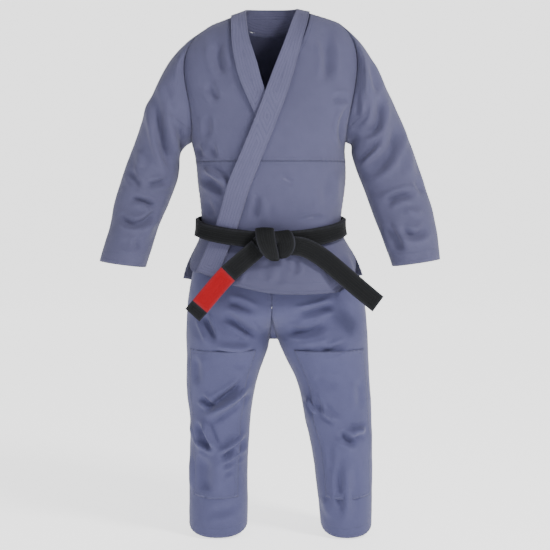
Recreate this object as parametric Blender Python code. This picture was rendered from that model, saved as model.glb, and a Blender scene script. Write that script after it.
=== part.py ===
"""Jiu-jitsu gi in its worn form: jacket, trousers and belt as hollow cloth walls.

Metres, +Z up. The front faces -Y, so the wearer's left is at +X and the wearer's right at -X.
The origin lies between the two shoulder points, where the wearer carries the jacket.
"""
import math

import bmesh
import bpy
from mathutils import Vector

# Cloth walls and the gaps between pieces
SEAM_GAP = 0.0003
LAYER_GAP = 0.0010
SKIRT_ROOM = 0.0012
ARMHOLE_GAP = 0.0006
BACK_ARMHOLE_ROOM = 0.0009
JACKET_WALL = 0.0020
LAPEL_WALL = 0.0050
TROUSER_WALL = 0.0016
PATCH_WALL = 0.0012
BELT_WALL = 0.0040
BELT_WIDTH = 0.046
BAR_WALL = 0.0056

# Layers over the chest, as distances out from the torso form
UNDER_LAPEL_LIFT = JACKET_WALL + LAYER_GAP
OVER_FRONT_LIFT = UNDER_LAPEL_LIFT + LAPEL_WALL + LAYER_GAP
OVER_LAPEL_LIFT = OVER_FRONT_LIFT + JACKET_WALL + LAYER_GAP

# Heights on the jacket
CHEST = -0.200
PIT = -0.285
CHEST_SEAM = -0.330
VENT_TOP = -0.525
VENT_LENGTH = 0.110
FRONT_VENT_SHARE = 0.38
BACK_VENT_SHARE = 0.12

# Roundness of the body's level sections and of the shoulder arch
SQUARE = 2.3
ARCH = 2.0

# Level sections of the jacket's body. Above the armpit their ends lie inside the sleeves.
TORSO = [
    # height, right, left, front depth, back depth
    (-0.670, -0.240, 0.248, 0.150, 0.152),
    (-0.610, -0.221, 0.231, 0.142, 0.143),
    (-0.570, -0.203, 0.212, 0.128, 0.128),
    (-0.540, -0.186, 0.193, 0.115, 0.117),
    (-0.510, -0.1735, 0.1745, 0.108, 0.110),
    (-0.470, -0.1715, 0.1725, 0.108, 0.108),
    (-0.430, -0.1745, 0.178, 0.113, 0.109),
    (-0.380, -0.181, 0.184, 0.119, 0.112),
    (-0.335, -0.184, 0.184, 0.122, 0.115),
    (-0.300, -0.190, 0.181, 0.123, 0.118),
    (-0.285, -0.196, 0.184, 0.123, 0.119),
    (-0.240, -0.212, 0.206, 0.122, 0.122),
    (-0.200, -0.225, 0.224, 0.120, 0.124),
]
# The shoulder line, seen from the front
RIDGE = [
    # x, height
    (-0.1935, -0.026),
    (-0.1675, -0.0085),
    (-0.1475, 0.005),
    (-0.1225, 0.015),
    (-0.0975, 0.025),
    (-0.0775, 0.035),
    (-0.0625, 0.042),
    (0.000, 0.054),
    (0.065, 0.0455),
    (0.094, 0.0352),
    (0.1275, 0.025),
    (0.1575, 0.015),
    (0.1800, 0.005),
]
# How far round the level section the armhole's edge lies
ARMHOLE_ANGLE = [
    # height, degrees from the centre
    (-0.285, 90.0),
    (-0.270, 75.0),
    (-0.245, 64.0),
    (-0.200, 58.0),
]
# How the armhole leans out and in again up the shoulder arch
ARMHOLE_SPREAD = [
    # share of the arch's rise, share of the width at the chest
    (0.00, 1.00),
    (0.21, 1.05),
    (0.45, 1.09),
    (0.64, 1.085),
    (0.85, 1.00),
    (1.00, 0.86),
]
# The lapel's two edges, seen from the front, from the hem to the shoulder line
OVER_LAPEL = [
    # way, inner x, inner height, outer x, outer height
    (0.00, -0.170, -0.602, -0.125, -0.616),
    (0.10, -0.140, -0.533, -0.0965, -0.550),
    (0.19, -0.1205, -0.472, -0.075, -0.4845),
    (0.32, -0.101, -0.388, -0.053, -0.405),
    (0.42, -0.075, -0.323, -0.029, -0.342),
    (0.59, -0.031, -0.212, 0.0145, -0.2335),
    (0.75, 0.005, -0.114, 0.051, -0.131),
    (0.87, 0.036, -0.0345, 0.0735, -0.047),
    (0.95, 0.056, 0.024, 0.0885, 0.006),
    (1.00, 0.065, 0.0455, 0.094, 0.0352),
]
UNDER_LAPEL = [
    # way, inner x, inner height, outer x, outer height
    (0.00, 0.120, -0.600, 0.075, -0.612),
    (0.12, 0.108, -0.520, 0.063, -0.534),
    (0.26, 0.092, -0.430, 0.048, -0.445),
    (0.41, 0.060, -0.330, 0.020, -0.352),
    (0.56, 0.022, -0.235, -0.018, -0.262),
    (0.68, -0.0145, -0.159, -0.0555, -0.180),
    (0.80, -0.034, -0.090, -0.080, -0.119),
    (0.88, -0.0525, -0.0325, -0.093, -0.050),
    (0.95, -0.060, 0.020, -0.0945, -0.002),
    (1.00, -0.0625, 0.042, -0.095, 0.0262),
]
# The collar's standing edge round the back of the neck, left side to right side
COLLAR_TOP = [
    # degrees round the neck, x, y, height
    (0.0, 0.0650, 0.026, 0.0470),
    (30.0, 0.0580, 0.051, 0.0500),
    (60.0, 0.0360, 0.071, 0.0530),
    (90.0, 0.0000, 0.078, 0.0545),
    (120.0, -0.0345, 0.071, 0.0530),
    (150.0, -0.0555, 0.051, 0.0490),
    (180.0, -0.0625, 0.026, 0.0435),
]
NECK_DEPTH = 0.083

# Hem of the jacket, seen from the front
FRONT_HEM = [
    # x, height
    (-0.180, -0.600),
    (-0.100, -0.628),
    (-0.055, -0.637),
    (-0.015, -0.647),
    (0.030, -0.651),
    (0.140, -0.649),
    (0.205, -0.638),
]
BACK_HEM = [
    # x, height
    (-0.225, -0.622),
    (-0.120, -0.652),
    (0.000, -0.658),
    (0.120, -0.652),
    (0.235, -0.614),
]
# Sleeve sections after the armhole
RIGHT_SLEEVE = [
    # outer x, outer height, inner x, inner height, half depth, middle y
    (-0.2125, -0.040, -0.2100, -0.2925, 0.089, 0.001),
    (-0.2525, -0.085, -0.2150, -0.2975, 0.087, 0.000),
    (-0.2825, -0.140, -0.2225, -0.3050, 0.083, 0.000),
    (-0.3050, -0.205, -0.2275, -0.3175, 0.078, -0.001),
    (-0.3275, -0.255, -0.2275, -0.3325, 0.072, -0.002),
    (-0.3425, -0.2975, -0.2275, -0.3475, 0.070, -0.004),
    (-0.3600, -0.3425, -0.2300, -0.3750, 0.067, -0.007),
    (-0.3775, -0.3925, -0.2450, -0.4100, 0.064, -0.011),
    (-0.3900, -0.4350, -0.2575, -0.4450, 0.062, -0.016),
    (-0.3950, -0.4800, -0.2775, -0.4850, 0.060, -0.022),
    (-0.4100, -0.5250, -0.2925, -0.5325, 0.058, -0.029),
    (-0.4225, -0.5750, -0.3100, -0.5900, 0.056, -0.036),
]
LEFT_SLEEVE = [
    # outer x, outer height, inner x, inner height, half depth, middle y
    (0.2135, -0.0275, 0.1985, -0.2900, 0.090, 0.001),
    (0.2475, -0.0725, 0.2000, -0.2950, 0.087, 0.000),
    (0.2825, -0.1400, 0.2000, -0.3025, 0.083, 0.000),
    (0.3100, -0.2000, 0.2000, -0.3125, 0.078, -0.001),
    (0.3325, -0.2500, 0.2025, -0.3225, 0.072, -0.002),
    (0.3500, -0.2975, 0.2075, -0.3400, 0.070, -0.004),
    (0.3675, -0.3450, 0.2175, -0.3700, 0.067, -0.007),
    (0.3825, -0.3950, 0.2325, -0.4025, 0.064, -0.011),
    (0.3975, -0.4375, 0.2450, -0.4400, 0.062, -0.016),
    (0.4075, -0.4800, 0.2600, -0.4775, 0.060, -0.022),
    (0.4150, -0.5275, 0.2775, -0.5200, 0.058, -0.029),
    (0.4175, -0.5700, 0.3000, -0.5875, 0.056, -0.036),
]
# How far the first sections round outwards between their two ends
SLEEVE_BULGE = (0.024, 0.017, 0.009)
SLEEVE_STEPS = (0.0, 0.5, 1.0, 2.0, 3.0, 4.0, 5.0, 6.0, 7.0, 8.0, 9.0, 10.0, 11.0, 12.0)

# Trousers above the legs, as level sections
PELVIS = [
    # height, right, left, front depth, back depth
    (-0.780, -0.212, 0.242, 0.118, 0.124),
    (-0.730, -0.211, 0.240, 0.128, 0.134),
    (-0.675, -0.2075, 0.2325, 0.133, 0.138),
    (-0.650, -0.204, 0.225, 0.130, 0.134),
    (-0.610, -0.196, 0.208, 0.121, 0.126),
    (-0.560, -0.184, 0.190, 0.109, 0.115),
    (-0.510, -0.1700, 0.1710, 0.1050, 0.1077),
    (-0.470, -0.1684, 0.1694, 0.1045, 0.1057),
]
# Legs below the crotch, as level sections
RIGHT_LEG = [
    # height, outer, inner, front depth, back depth
    (-1.262, -0.2060, -0.0600, 0.077, 0.082),
    (-1.195, -0.2060, -0.0595, 0.078, 0.083),
    (-1.115, -0.2065, -0.0600, 0.080, 0.084),
    (-1.035, -0.2030, -0.0575, 0.086, 0.083),
    (-0.995, -0.2025, -0.0550, 0.090, 0.085),
    (-0.955, -0.2040, -0.0500, 0.093, 0.090),
    (-0.915, -0.2110, -0.0450, 0.097, 0.097),
    (-0.875, -0.2120, -0.0375, 0.101, 0.105),
    (-0.835, -0.2110, -0.0225, 0.107, 0.112),
    (-0.795, -0.2115, -0.0070, 0.114, 0.119),
    (-0.770, -0.2120, -0.0045, 0.118, 0.124),
    (-0.680, -0.2080, -0.0010, 0.133, 0.138),
]
LEFT_LEG = [
    # height, outer, inner, front depth, back depth
    (-1.262, 0.2530, 0.1275, 0.077, 0.082),
    (-1.195, 0.2550, 0.1225, 0.078, 0.083),
    (-1.115, 0.2550, 0.1125, 0.080, 0.084),
    (-1.035, 0.2545, 0.1000, 0.086, 0.083),
    (-0.995, 0.2530, 0.0900, 0.090, 0.085),
    (-0.955, 0.2520, 0.0825, 0.093, 0.090),
    (-0.915, 0.2500, 0.0750, 0.097, 0.097),
    (-0.875, 0.2475, 0.0650, 0.101, 0.105),
    (-0.835, 0.2450, 0.0450, 0.107, 0.112),
    (-0.795, 0.2430, 0.0250, 0.114, 0.119),
    (-0.770, 0.2420, 0.0165, 0.118, 0.124),
    (-0.680, 0.2330, 0.0060, 0.133, 0.138),
]
CENTRE_SEAM_X = 0.002
FORK_TOP = -0.690
CROTCH = -0.772
FORK_SPREAD = 0.0024
LEG_SQUARE = 2.2
WAIST_TOP = -0.470
WAIST_SEAM = -0.508
LEG_HEM = -1.236
HEM_DIP = 0.026
LEG_COLUMNS = 22
LEG_HEIGHTS = (
    -0.508, -0.540, -0.575, -0.610, -0.645, -0.672, -0.690, -0.706, -0.722, -0.738, -0.752, -0.764, -0.772,
    -0.790, -0.820, -0.855, -0.890, -0.925, -0.955, -0.985, -1.020, -1.060, -1.105, -1.150, -1.195,
    -1.236,
)
PATCH_COLUMNS = (3, 9)
PATCH_ROWS = (13, 23)

# Folds that shape a wall, seen from the front: where each starts and ends, how deep and how wide it is.
# A depth below zero is a trough.
JACKET_FOLDS = [
    # start x, start height, end x, end height, depth, width
    (-0.133, -0.030, -0.118, -0.120, -0.007, 0.016),
    (-0.150, -0.110, -0.143, -0.190, -0.005, 0.018),
    (0.134, -0.020, 0.142, -0.125, -0.007, 0.018),
    (-0.172, -0.340, -0.105, -0.385, 0.005, 0.016),
]
RIGHT_SLEEVE_FOLDS = [
    # start x, start height, end x, end height, depth, width
    (-0.300, -0.215, -0.262, -0.345, 0.008, 0.020),
    (-0.358, -0.425, -0.292, -0.440, -0.007, 0.016),
    (-0.382, -0.465, -0.290, -0.462, -0.006, 0.014),
    (-0.340, -0.515, -0.335, -0.560, 0.005, 0.018),
]
LEFT_SLEEVE_FOLDS = [
    # start x, start height, end x, end height, depth, width
    (0.262, -0.160, 0.240, -0.260, -0.008, 0.018),
    (0.318, -0.220, 0.250, -0.350, -0.008, 0.020),
    (0.290, -0.435, 0.362, -0.412, -0.006, 0.015),
    (0.330, -0.500, 0.395, -0.500, -0.006, 0.015),
]
RIGHT_LEG_FOLDS = [
    # start x, start height, end x, end height, depth, width
    (-0.120, -0.715, -0.040, -0.775, -0.008, 0.018),
    (-0.140, -0.775, -0.045, -0.800, 0.007, 0.018),
    (-0.175, -0.985, -0.060, -0.905, 0.010, 0.018),
    (-0.178, -0.930, -0.120, -0.950, -0.008, 0.020),
    (-0.135, -1.070, -0.065, -1.020, 0.007, 0.016),
    (-0.185, -1.060, -0.180, -1.180, -0.006, 0.022),
]
LEFT_LEG_FOLDS = [
    # start x, start height, end x, end height, depth, width
    (0.045, -0.720, 0.165, -0.690, -0.007, 0.016),
    (0.100, -0.800, 0.190, -0.785, 0.006, 0.016),
    (0.095, -0.935, 0.120, -0.985, 0.007, 0.014),
    (0.120, -0.955, 0.170, -0.995, 0.006, 0.014),
    (0.200, -1.022, 0.240, -1.018, 0.007, 0.016),
    (0.172, -1.070, 0.168, -1.240, 0.004, 0.024),
]

# Belt: its height and how far it stands off the torso form, by degrees from the centre front
BELT_TURN = [
    # degrees, middle height, inner turn's distance out
    (-180.0, -0.480, 0.0034),
    (-150.0, -0.483, 0.0038),
    (-100.0, -0.488, 0.0040),
    (-82.0, -0.491, 0.0090),
    (-64.0, -0.498, 0.0200),
    (-52.0, -0.505, 0.0222),
    (-15.0, -0.521, 0.0215),
    (-4.0, -0.523, 0.0172),
    (20.0, -0.520, 0.0149),
    (55.0, -0.504, 0.0149),
    (76.0, -0.493, 0.0098),
    (92.0, -0.489, 0.0044),
    (110.0, -0.487, 0.0043),
    (150.0, -0.483, 0.0038),
    (180.0, -0.480, 0.0034),
]
BELT_COLUMNS = 56
BELT_ROWS = 2
TURN_GAP = 0.0006
OUTER_TURN_DROP = 0.0025

# The knot's outline, seen from the front, and its three levels from back to front
KNOT_OUTLINE = [
    # x, height
    (-0.0240, -0.502),
    (0.0050, -0.499),
    (0.0260, -0.501),
    (0.0440, -0.515),
    (0.0500, -0.537),
    (0.0340, -0.556),
    (0.0170, -0.568),
    (-0.0050, -0.560),
    (-0.0240, -0.545),
    (-0.0290, -0.520),
]
KNOT_LEVELS = [
    # y, share of the outline
    (-0.1424, 0.80),
    (-0.1480, 0.98),
    (-0.1600, 1.00),
    (-0.1690, 0.80),
    (-0.1720, 0.45),
]
# Belt tails: middle line from the knot outwards, and how far each turns about it
BAR_TAIL = [
    # x, y, height, twist in degrees
    (-0.0310, -0.1520, -0.5380, 4.0),
    (-0.0520, -0.1580, -0.5560, 3.0),
    (-0.0780, -0.1630, -0.5780, 0.0),
    (-0.1020, -0.1645, -0.5995, -3.0),
    (-0.1260, -0.1630, -0.6260, -4.0),
    (-0.1480, -0.1600, -0.6520, -4.0),
    (-0.1695, -0.1565, -0.6780, -4.0),
    (-0.1880, -0.1530, -0.6990, -4.0),
]
# Where along its rows the tail is black, red and black again
BAR_START = 3.0
BAR_END = 6.0
BAR_GAP = 0.011
PLAIN_TAIL = [
    # x, y, height, twist in degrees
    (0.0510, -0.1510, -0.5330, 8.0),
    (0.0800, -0.1470, -0.5370, 6.0),
    (0.1180, -0.1460, -0.5570, 2.0),
    (0.1600, -0.1450, -0.5910, -2.0),
    (0.2050, -0.1420, -0.6300, -14.0),
    (0.2580, -0.1370, -0.6740, -24.0),
]

JACKET_BLUE = (0.135, 0.140, 0.275, 1.0)
TROUSER_BLUE = (0.120, 0.130, 0.270, 1.0)
BELT_BLACK = (0.012, 0.013, 0.015, 1.0)
BAR_RED = (0.500, 0.006, 0.015, 1.0)


# Small helpers

def row_at(table, key):
    """The table's other columns at key, on a smooth curve through its rows."""
    last = len(table) - 1
    if key <= table[0][0]:
        return table[0][1:]
    if key >= table[last][0]:
        return table[last][1:]
    index = max(i for i in range(last) if table[i][0] <= key)
    span = table[index + 1][0] - table[index][0]
    share = (key - table[index][0]) / span
    values = []
    for column in range(1, len(table[0])):
        values.append(_curve(table, index, column, share, span))
    return values


def _slope(table, index, column):
    """The curve's slope at a row, from the rows beside it."""
    before = max(index - 1, 0)
    after = min(index + 1, len(table) - 1)
    return (table[after][column] - table[before][column]) / (table[after][0] - table[before][0])


def _curve(table, index, column, share, span):
    """Cubic between two rows of a table."""
    start, end = table[index][column], table[index + 1][column]
    leave = _slope(table, index, column) * span
    arrive = _slope(table, index + 1, column) * span
    square, cube = share * share, share ** 3
    return (start * (2 * cube - 3 * square + 1) + leave * (cube - 2 * square + share)
            + end * (3 * square - 2 * cube) + arrive * (cube - square))


def smooth(value, low, high):
    """0 up to low, 1 from high, and an even change between them."""
    share = min(max((value - low) / (high - low), 0.0), 1.0)
    return share * share * (3.0 - 2.0 * share)


def power(value, exponent):
    """A power that keeps its sign."""
    return math.copysign(abs(value) ** exponent, value)


def fold_at(folds, x, height):
    """How far the folds push a point outwards."""
    push = 0.0
    for start_x, start_z, end_x, end_z, depth, width in folds:
        run_x, run_z = end_x - start_x, end_z - start_z
        along = ((x - start_x) * run_x + (height - start_z) * run_z) / (run_x ** 2 + run_z ** 2)
        along = min(max(along, 0.0), 1.0)
        away = math.hypot(x - start_x - along * run_x, height - start_z - along * run_z)
        push += depth * math.exp(-(away / width) ** 2)
    return push


# The torso form

def ring_depth(x, height, side):
    """Depth of the level section at x; side is -1 in front and 1 behind."""
    right, left, front, back = row_at(TORSO, height)
    across = min(abs((2 * x - left - right) / (left - right)), 1.0)
    return (front if side < 0 else back) * (1.0 - across ** SQUARE) ** (1.0 / SQUARE)


def arch_place(x, height):
    """Share of the shoulder arch's rise at a point, and the x of its foot on the chest section."""
    foot = x
    rise = 0.0
    for _ in range(6):
        top = row_at(RIDGE, foot * ARMHOLE_SPREAD[-1][1])[0]
        rise = (height - CHEST) / (top - CHEST)
        foot = x / row_at(ARMHOLE_SPREAD, rise)[0]
    return rise, foot


def torso_point(across, climb, side):
    """A point on the torso form.

    across runs from -1 at the right side seam or armhole to 1 at the left one. climb is in metres
    below the chest section when negative, and the share of the shoulder arch when positive.
    """
    if climb > 0.0:
        foot = torso_point(across, 0.0, side)
        angle = min(climb, 1.0) * math.pi / 2
        rise = math.sin(angle) ** (2 / ARCH)
        top = row_at(RIDGE, foot.x * ARMHOLE_SPREAD[-1][1])[0]
        depth = abs(foot.y) * max(math.cos(angle), 0.0) ** (2 / ARCH)
        x = foot.x * row_at(ARMHOLE_SPREAD, rise)[0]
        return Vector((x, side * max(depth, SEAM_GAP / 2), CHEST + (top - CHEST) * rise))
    height = CHEST + climb
    right, left, front, back = row_at(TORSO, height)
    edge = 90.0 if height <= PIT else min(row_at(ARMHOLE_ANGLE, height)[0], 90.0)
    angle = math.radians(across * edge)
    x = (right + left) / 2 + (left - right) / 2 * power(math.sin(angle), 2 / SQUARE)
    depth = (front if side < 0 else back) * max(math.cos(angle), 0.0) ** (2 / SQUARE)
    return Vector((x, side * max(depth, SEAM_GAP / 2), height))


def torso_level(point):
    """Grows outwards through the torso form, where it is zero."""
    x, y, height = point
    side = -1 if y < 0 else 1
    if height <= CHEST:
        right, left, front, back = row_at(TORSO, height)
        across = abs((2 * x - left - right) / (left - right))
        depth = front if side < 0 else back
        return across ** SQUARE + (abs(y) / depth) ** SQUARE - 1.0
    rise, foot = arch_place(x, height)
    depth = max(ring_depth(foot, CHEST, side), 0.004)
    return max(rise, 0.0) ** ARCH + (abs(y) / depth) ** ARCH - 1.0


def torso_normal(point):
    """The torso form's outward direction at a point."""
    step = 0.0006
    slope = Vector()
    for axis in range(3):
        move = Vector()
        move[axis] = step
        slope[axis] = torso_level(point + move) - torso_level(point - move)
    return slope.normalized()


def torso_front(x, height):
    """The point of the torso's front at x and a height, no higher than the shoulder line."""
    if height <= CHEST:
        return Vector((x, -max(ring_depth(x, height, -1), SEAM_GAP / 2), height))
    rise, foot = arch_place(x, height)
    if rise >= 1.0:
        return Vector((x, -SEAM_GAP / 2, row_at(RIDGE, x)[0]))
    depth = ring_depth(foot, CHEST, -1) * (1.0 - rise ** ARCH) ** (1 / ARCH)
    return Vector((x, -max(depth, SEAM_GAP / 2), height))


# Closed walls

def material(name, colour, roughness):
    """A plain cloth material."""
    made = bpy.data.materials.new(name)
    made.use_nodes = True
    shader = made.node_tree.nodes["Principled BSDF"]
    shader.inputs["Base Color"].default_value = colour
    shader.inputs["Roughness"].default_value = roughness
    shader.inputs["Metallic"].default_value = 0.0
    made.diffuse_color = colour
    return made


def add_object(name, bm, cloth):
    """Turn a finished bmesh into one named object."""
    bmesh.ops.recalc_face_normals(bm, faces=bm.faces[:])
    mesh = bpy.data.meshes.new(name)
    bm.to_mesh(mesh)
    bm.free()
    mesh.shade_smooth()
    mesh.set_sharp_from_angle(angle=math.radians(50))
    mesh.materials.append(cloth)
    made = bpy.data.objects.new(name, mesh)
    bpy.context.scene.collection.objects.link(made)
    return made


def wall(name, columns, rows, inner, outer, cloth, joined=None):
    """A closed wall between two grids of points, inner(column, row) and outer(column, row).

    joined(row) says at which rows the last column is sewn to the first one, as on a tube.
    """
    bm = bmesh.new()
    bmesh.ops.create_grid(bm, x_segments=columns, y_segments=rows, size=0.5)
    cell = {}
    for vert in bm.verts:
        column = round((vert.co.x + 0.5) * columns)
        row = round((vert.co.y + 0.5) * rows)
        cell[(column, row)] = vert
    if joined:
        seam = {cell[(columns, row)]: cell[(0, row)] for row in range(rows + 1) if joined(row)}
        bmesh.ops.weld_verts(bm, targetmap=seam)
    place = {vert: key for key, vert in cell.items() if vert.is_valid}
    rim = [edge for edge in bm.edges if edge.is_boundary]
    everything = bm.verts[:] + bm.edges[:] + bm.faces[:]
    twin = bmesh.ops.duplicate(bm, geom=everything)["vert_map"]
    for vert, key in place.items():
        vert.co = inner(*key)
        twin[vert].co = outer(*key)
    for edge in rim:
        first, second = edge.verts
        bm.faces.new((first, second, twin[second], twin[first]))
    return add_object(name, bm, cloth)


def grid_normals(points, closed, sign):
    """Outward directions of a grid of points, points[row][column]."""
    rows, columns = len(points), len(points[0])
    normals = []
    for row in range(rows):
        line = []
        for column in range(columns):
            before, after = max(column - 1, 0), min(column + 1, columns - 1)
            if closed(row) and column in (0, columns - 1):
                before, after = columns - 2, 1
            along = points[min(row + 1, rows - 1)][column] - points[max(row - 1, 0)][column]
            across = points[row][after] - points[row][before]
            line.append(across.cross(along).normalized() * sign)
        normals.append(line)
    return normals


# Jacket

def arm_climbs():
    """Steps up the armhole from the armpit to the shoulder line, shared by body and sleeve."""
    low = [PIT - CHEST, -0.270 - CHEST, -0.245 - CHEST, 0.0]
    return low + [step / 7 for step in range(1, 8)]


def sleeve_points(side):
    """The sleeve's grid of points, station by station, and its outward directions."""
    table = RIGHT_SLEEVE if side < 0 else LEFT_SLEEVE
    folds = RIGHT_SLEEVE_FOLDS if side < 0 else LEFT_SLEEVE_FOLDS
    climbs = arm_climbs()
    front = [torso_point(side, climb, -1) for climb in climbs]
    back = [torso_point(side, climb, 1) for climb in reversed(climbs)]
    loop = front[:-1] + [(front[-1] + back[0]) / 2] + back[1:]
    loop[0] = (front[0] + back[-1]) / 2
    loop[-1] = loop[0].copy()
    low, high = loop[0].z, loop[len(front) - 1].z
    turns = []
    for index, point in enumerate(loop):
        turn = math.acos(1 - 2 * min(max((point.z - low) / (high - low), 0.0), 1.0))
        turns.append(turn if index < len(front) else 2 * math.pi - turn)
    stations = [loop]
    for index, row in enumerate(table):
        bulge = SLEEVE_BULGE[index] if index < len(SLEEVE_BULGE) else 0.0
        stations.append(_sleeve_ring(row, turns, side * bulge))
    points = []
    for step in SLEEVE_STEPS:
        index = min(int(step), len(stations) - 2)
        share = step - index
        line = []
        for column in range(len(loop)):
            keys = [max(index - 1, 0), index, index + 1, min(index + 2, len(stations) - 1)]
            line.append(_through([stations[key][column] for key in keys], share))
        points.append(line)
    normals = grid_normals(points, lambda row: True, -side)
    for row in range(2, len(points)):
        for column, point in enumerate(points[row]):
            if normals[row][column].y < 0.2:
                fade = smooth(row, 1, 4) * smooth(0.2 - normals[row][column].y, 0.0, 0.5)
                points[row][column] = point + normals[row][column] * fold_at(folds, point.x, point.z) * fade
    return points, normals


def _sleeve_ring(row, turns, bulge):
    """One level of the sleeve as a slanted oval."""
    outer_x, outer_z, inner_x, inner_z, depth, middle = row
    centre = Vector(((outer_x + inner_x) / 2, middle, (outer_z + inner_z) / 2))
    reach = Vector(((inner_x - outer_x) / 2, 0.0, (inner_z - outer_z) / 2))
    ring = []
    for turn in turns:
        forward = depth * power(math.sin(turn), 2 / SQUARE)
        outward = Vector((bulge * math.sin(turn) ** 2, -forward, 0.0))
        ring.append(centre + reach * math.cos(turn) + outward)
    return ring


def _through(points, share):
    """Catmull-Rom curve between the middle two of four points."""
    a, b, c, d = points
    square, cube = share * share, share ** 3
    return 0.5 * (2 * b + (c - a) * share + (2 * a - 5 * b + 4 * c - d) * square
                  + (3 * b - a - 3 * c + d) * cube)


def make_sleeve(name, side, cloth):
    """A sleeve, and the shared edge directions for the body's armhole."""
    points, normals = sleeve_points(side)
    count = len(points[0])
    half = (count - 1) // 2
    for column in range(count):
        body = torso_normal(points[0][column])
        normals[0][column] = (normals[0][column] + body).normalized()
    mitres = {}
    for index in range(half + 1):
        mitres[(-1, index)] = normals[0][index]
        mitres[(1, index)] = normals[0][count - 1 - index]
    edge = [point.copy() for point in points[0]]
    for column in range(count):
        before = edge[column - 1 if column else count - 2]
        after = edge[column + 1 if column < count - 1 else 1]
        onward = normals[0][column].cross(after - before).normalized()
        if onward.dot(points[1][column] - edge[column]) < 0.0:
            onward = -onward
        gap = ARMHOLE_GAP + BACK_ARMHOLE_ROOM * smooth(edge[column].y, 0.0, 0.03)
        points[0][column] = edge[column] + onward * gap
    wall(name, count - 1, len(points) - 1,
         lambda column, row: points[row][column],
         lambda column, row: points[row][column] + normals[row][column] * JACKET_WALL,
         cloth, joined=lambda row: True)
    return mitres


def lapel_edge(table, share):
    """Heights and x of the line that lies this share of the way across the lapel, for row_at."""
    line = []
    for way, inner_x, inner_z, outer_x, outer_z in table:
        under = share + (1.10 - share) * smooth(way, 0.72, 0.93)
        line.append((inner_z + (outer_z - inner_z) * under, inner_x + (outer_x - inner_x) * under))
    return line


def front_start(line, climb, side):
    """How far across the body a row of a front piece starts, at the lapel's line."""
    low, high = -1.0, 1.0
    for _ in range(30):
        middle = (low + high) / 2
        point = torso_point(middle, climb, -1)
        if point.x < row_at(line, point.z)[0]:
            low = middle
        else:
            high = middle
    return low


def side_end(height, side, share):
    """How far across a row ends: at the side seam, or inside it where the vent opens."""
    return side * (1.0 - share * smooth(VENT_TOP - height, 0.0, VENT_LENGTH * 1.6) * 2)


def lower_climb(across, share, side_of_body, top, hem):
    """Climb of a row between a top line and the hem."""
    x = torso_point(across, -0.62 - CHEST, side_of_body).x
    return top - CHEST + (row_at(hem, x)[0] - top) * share


def skirt_room(point):
    """What each layer adds below the waist, where the skirt flares."""
    return SKIRT_ROOM * smooth(-point.z, 0.42, 0.50)


def over_lift(point):
    """How far the over front stands off the form to clear the layers below it."""
    right, left = row_at(TORSO, min(point.z, CHEST))[:2]
    inside = 1.0 - smooth(2 * point.x / (left - right), 0.70, 0.96)
    lift = OVER_FRONT_LIFT + 2 * skirt_room(point)
    return lift * inside * (1.0 - smooth(point.z, -0.19, -0.09))


def body_fold(point, across):
    """Folds of the jacket's front, fading out towards its seams."""
    return fold_at(JACKET_FOLDS, point.x, point.z) * (1.0 - smooth(abs(across), 0.86, 1.0))


def make_front(name, side, line, columns, climbs, cloth, mitres, lift):
    """One cut piece of a front. climbs gives each row's climb at a place across the body."""
    first_mitre = len(climbs) - len(arm_climbs())

    def place(column, row, out):
        end = side
        climb = climbs[row](end)
        if climb <= 0:
            end = side_end(CHEST + climb, side, FRONT_VENT_SHARE)
        start = front_start(line, climbs[row](0.0), side)
        across = start + (end - start) * column / columns
        climb = climbs[row](across)
        point = torso_point(across, climb, -1)
        normal = torso_normal(point)
        edge = (-1, row - first_mitre)
        if column == columns and mitres and edge in mitres:
            normal = mitres[edge]
        return point + normal * (lift(point) + body_fold(point, across) + out)

    wall(name, columns, len(climbs) - 1,
         lambda column, row: place(column, row, 0.0),
         lambda column, row: place(column, row, JACKET_WALL), cloth)


def make_fronts(cloth, mitres):
    """The two fronts, each an upper and a lower piece."""
    seam_climb = CHEST_SEAM - CHEST
    upper = [seam_climb + SEAM_GAP, -0.306 - CHEST] + arm_climbs()
    lower_shares = [step / 12 for step in range(12, -1, -1)]
    for label, side, table, lift in (
        ("under", -1, UNDER_LAPEL, lambda point: 0.0),
        ("over", 1, OVER_LAPEL, over_lift),
    ):
        line = sorted(lapel_edge(table, 0.55))
        columns = 12 if side > 0 else 11
        top_rows = [lambda across, value=value: value for value in upper]
        low_rows = [
            lambda across, share=share: lower_climb(across, share, -1, CHEST_SEAM, FRONT_HEM)
            for share in lower_shares
        ]
        make_front(f"jacket_front_{label}_upper", side, line, columns, top_rows, cloth, mitres[side], lift)
        make_front(f"jacket_front_{label}_lower", side, line, columns, low_rows, cloth, None, lift)


def neck_climb(across):
    """Where a line up the back ends: at the shoulder seam, or at the neckline."""
    foot = torso_point(across, 0.0, 1)
    x = foot.x * ARMHOLE_SPREAD[-1][1]
    half = 0.094 if x > 0 else 0.095
    if abs(x) >= half:
        return 1.0
    edge = NECK_DEPTH * math.sqrt(1.0 - (x / half) ** 2)
    return math.acos(min((edge / foot.y) ** (ARCH / 2), 1.0)) / (math.pi / 2)


def neck_across(x):
    """The place across the body whose line reaches the shoulder line at x."""
    low, high = -1.0, 1.0
    for _ in range(40):
        middle = (low + high) / 2
        if torso_point(middle, 1.0, 1).x < x:
            low = middle
        else:
            high = middle
    return low


def back_columns():
    """Places across the back: closely round the neck, evenly along the shoulders."""
    right, left = neck_across(-0.095), neck_across(0.094)
    outer = 7
    places = [-1.0 + (right + 1.0) * step / outer for step in range(outer)]
    for step in range(11):
        turn = math.pi * (step / 10 - 0.5)
        places.append((left + right) / 2 + (left - right) / 2 * math.sin(turn))
    places += [left + (1.0 - left) * step / outer for step in range(1, outer + 1)]
    return places


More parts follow.
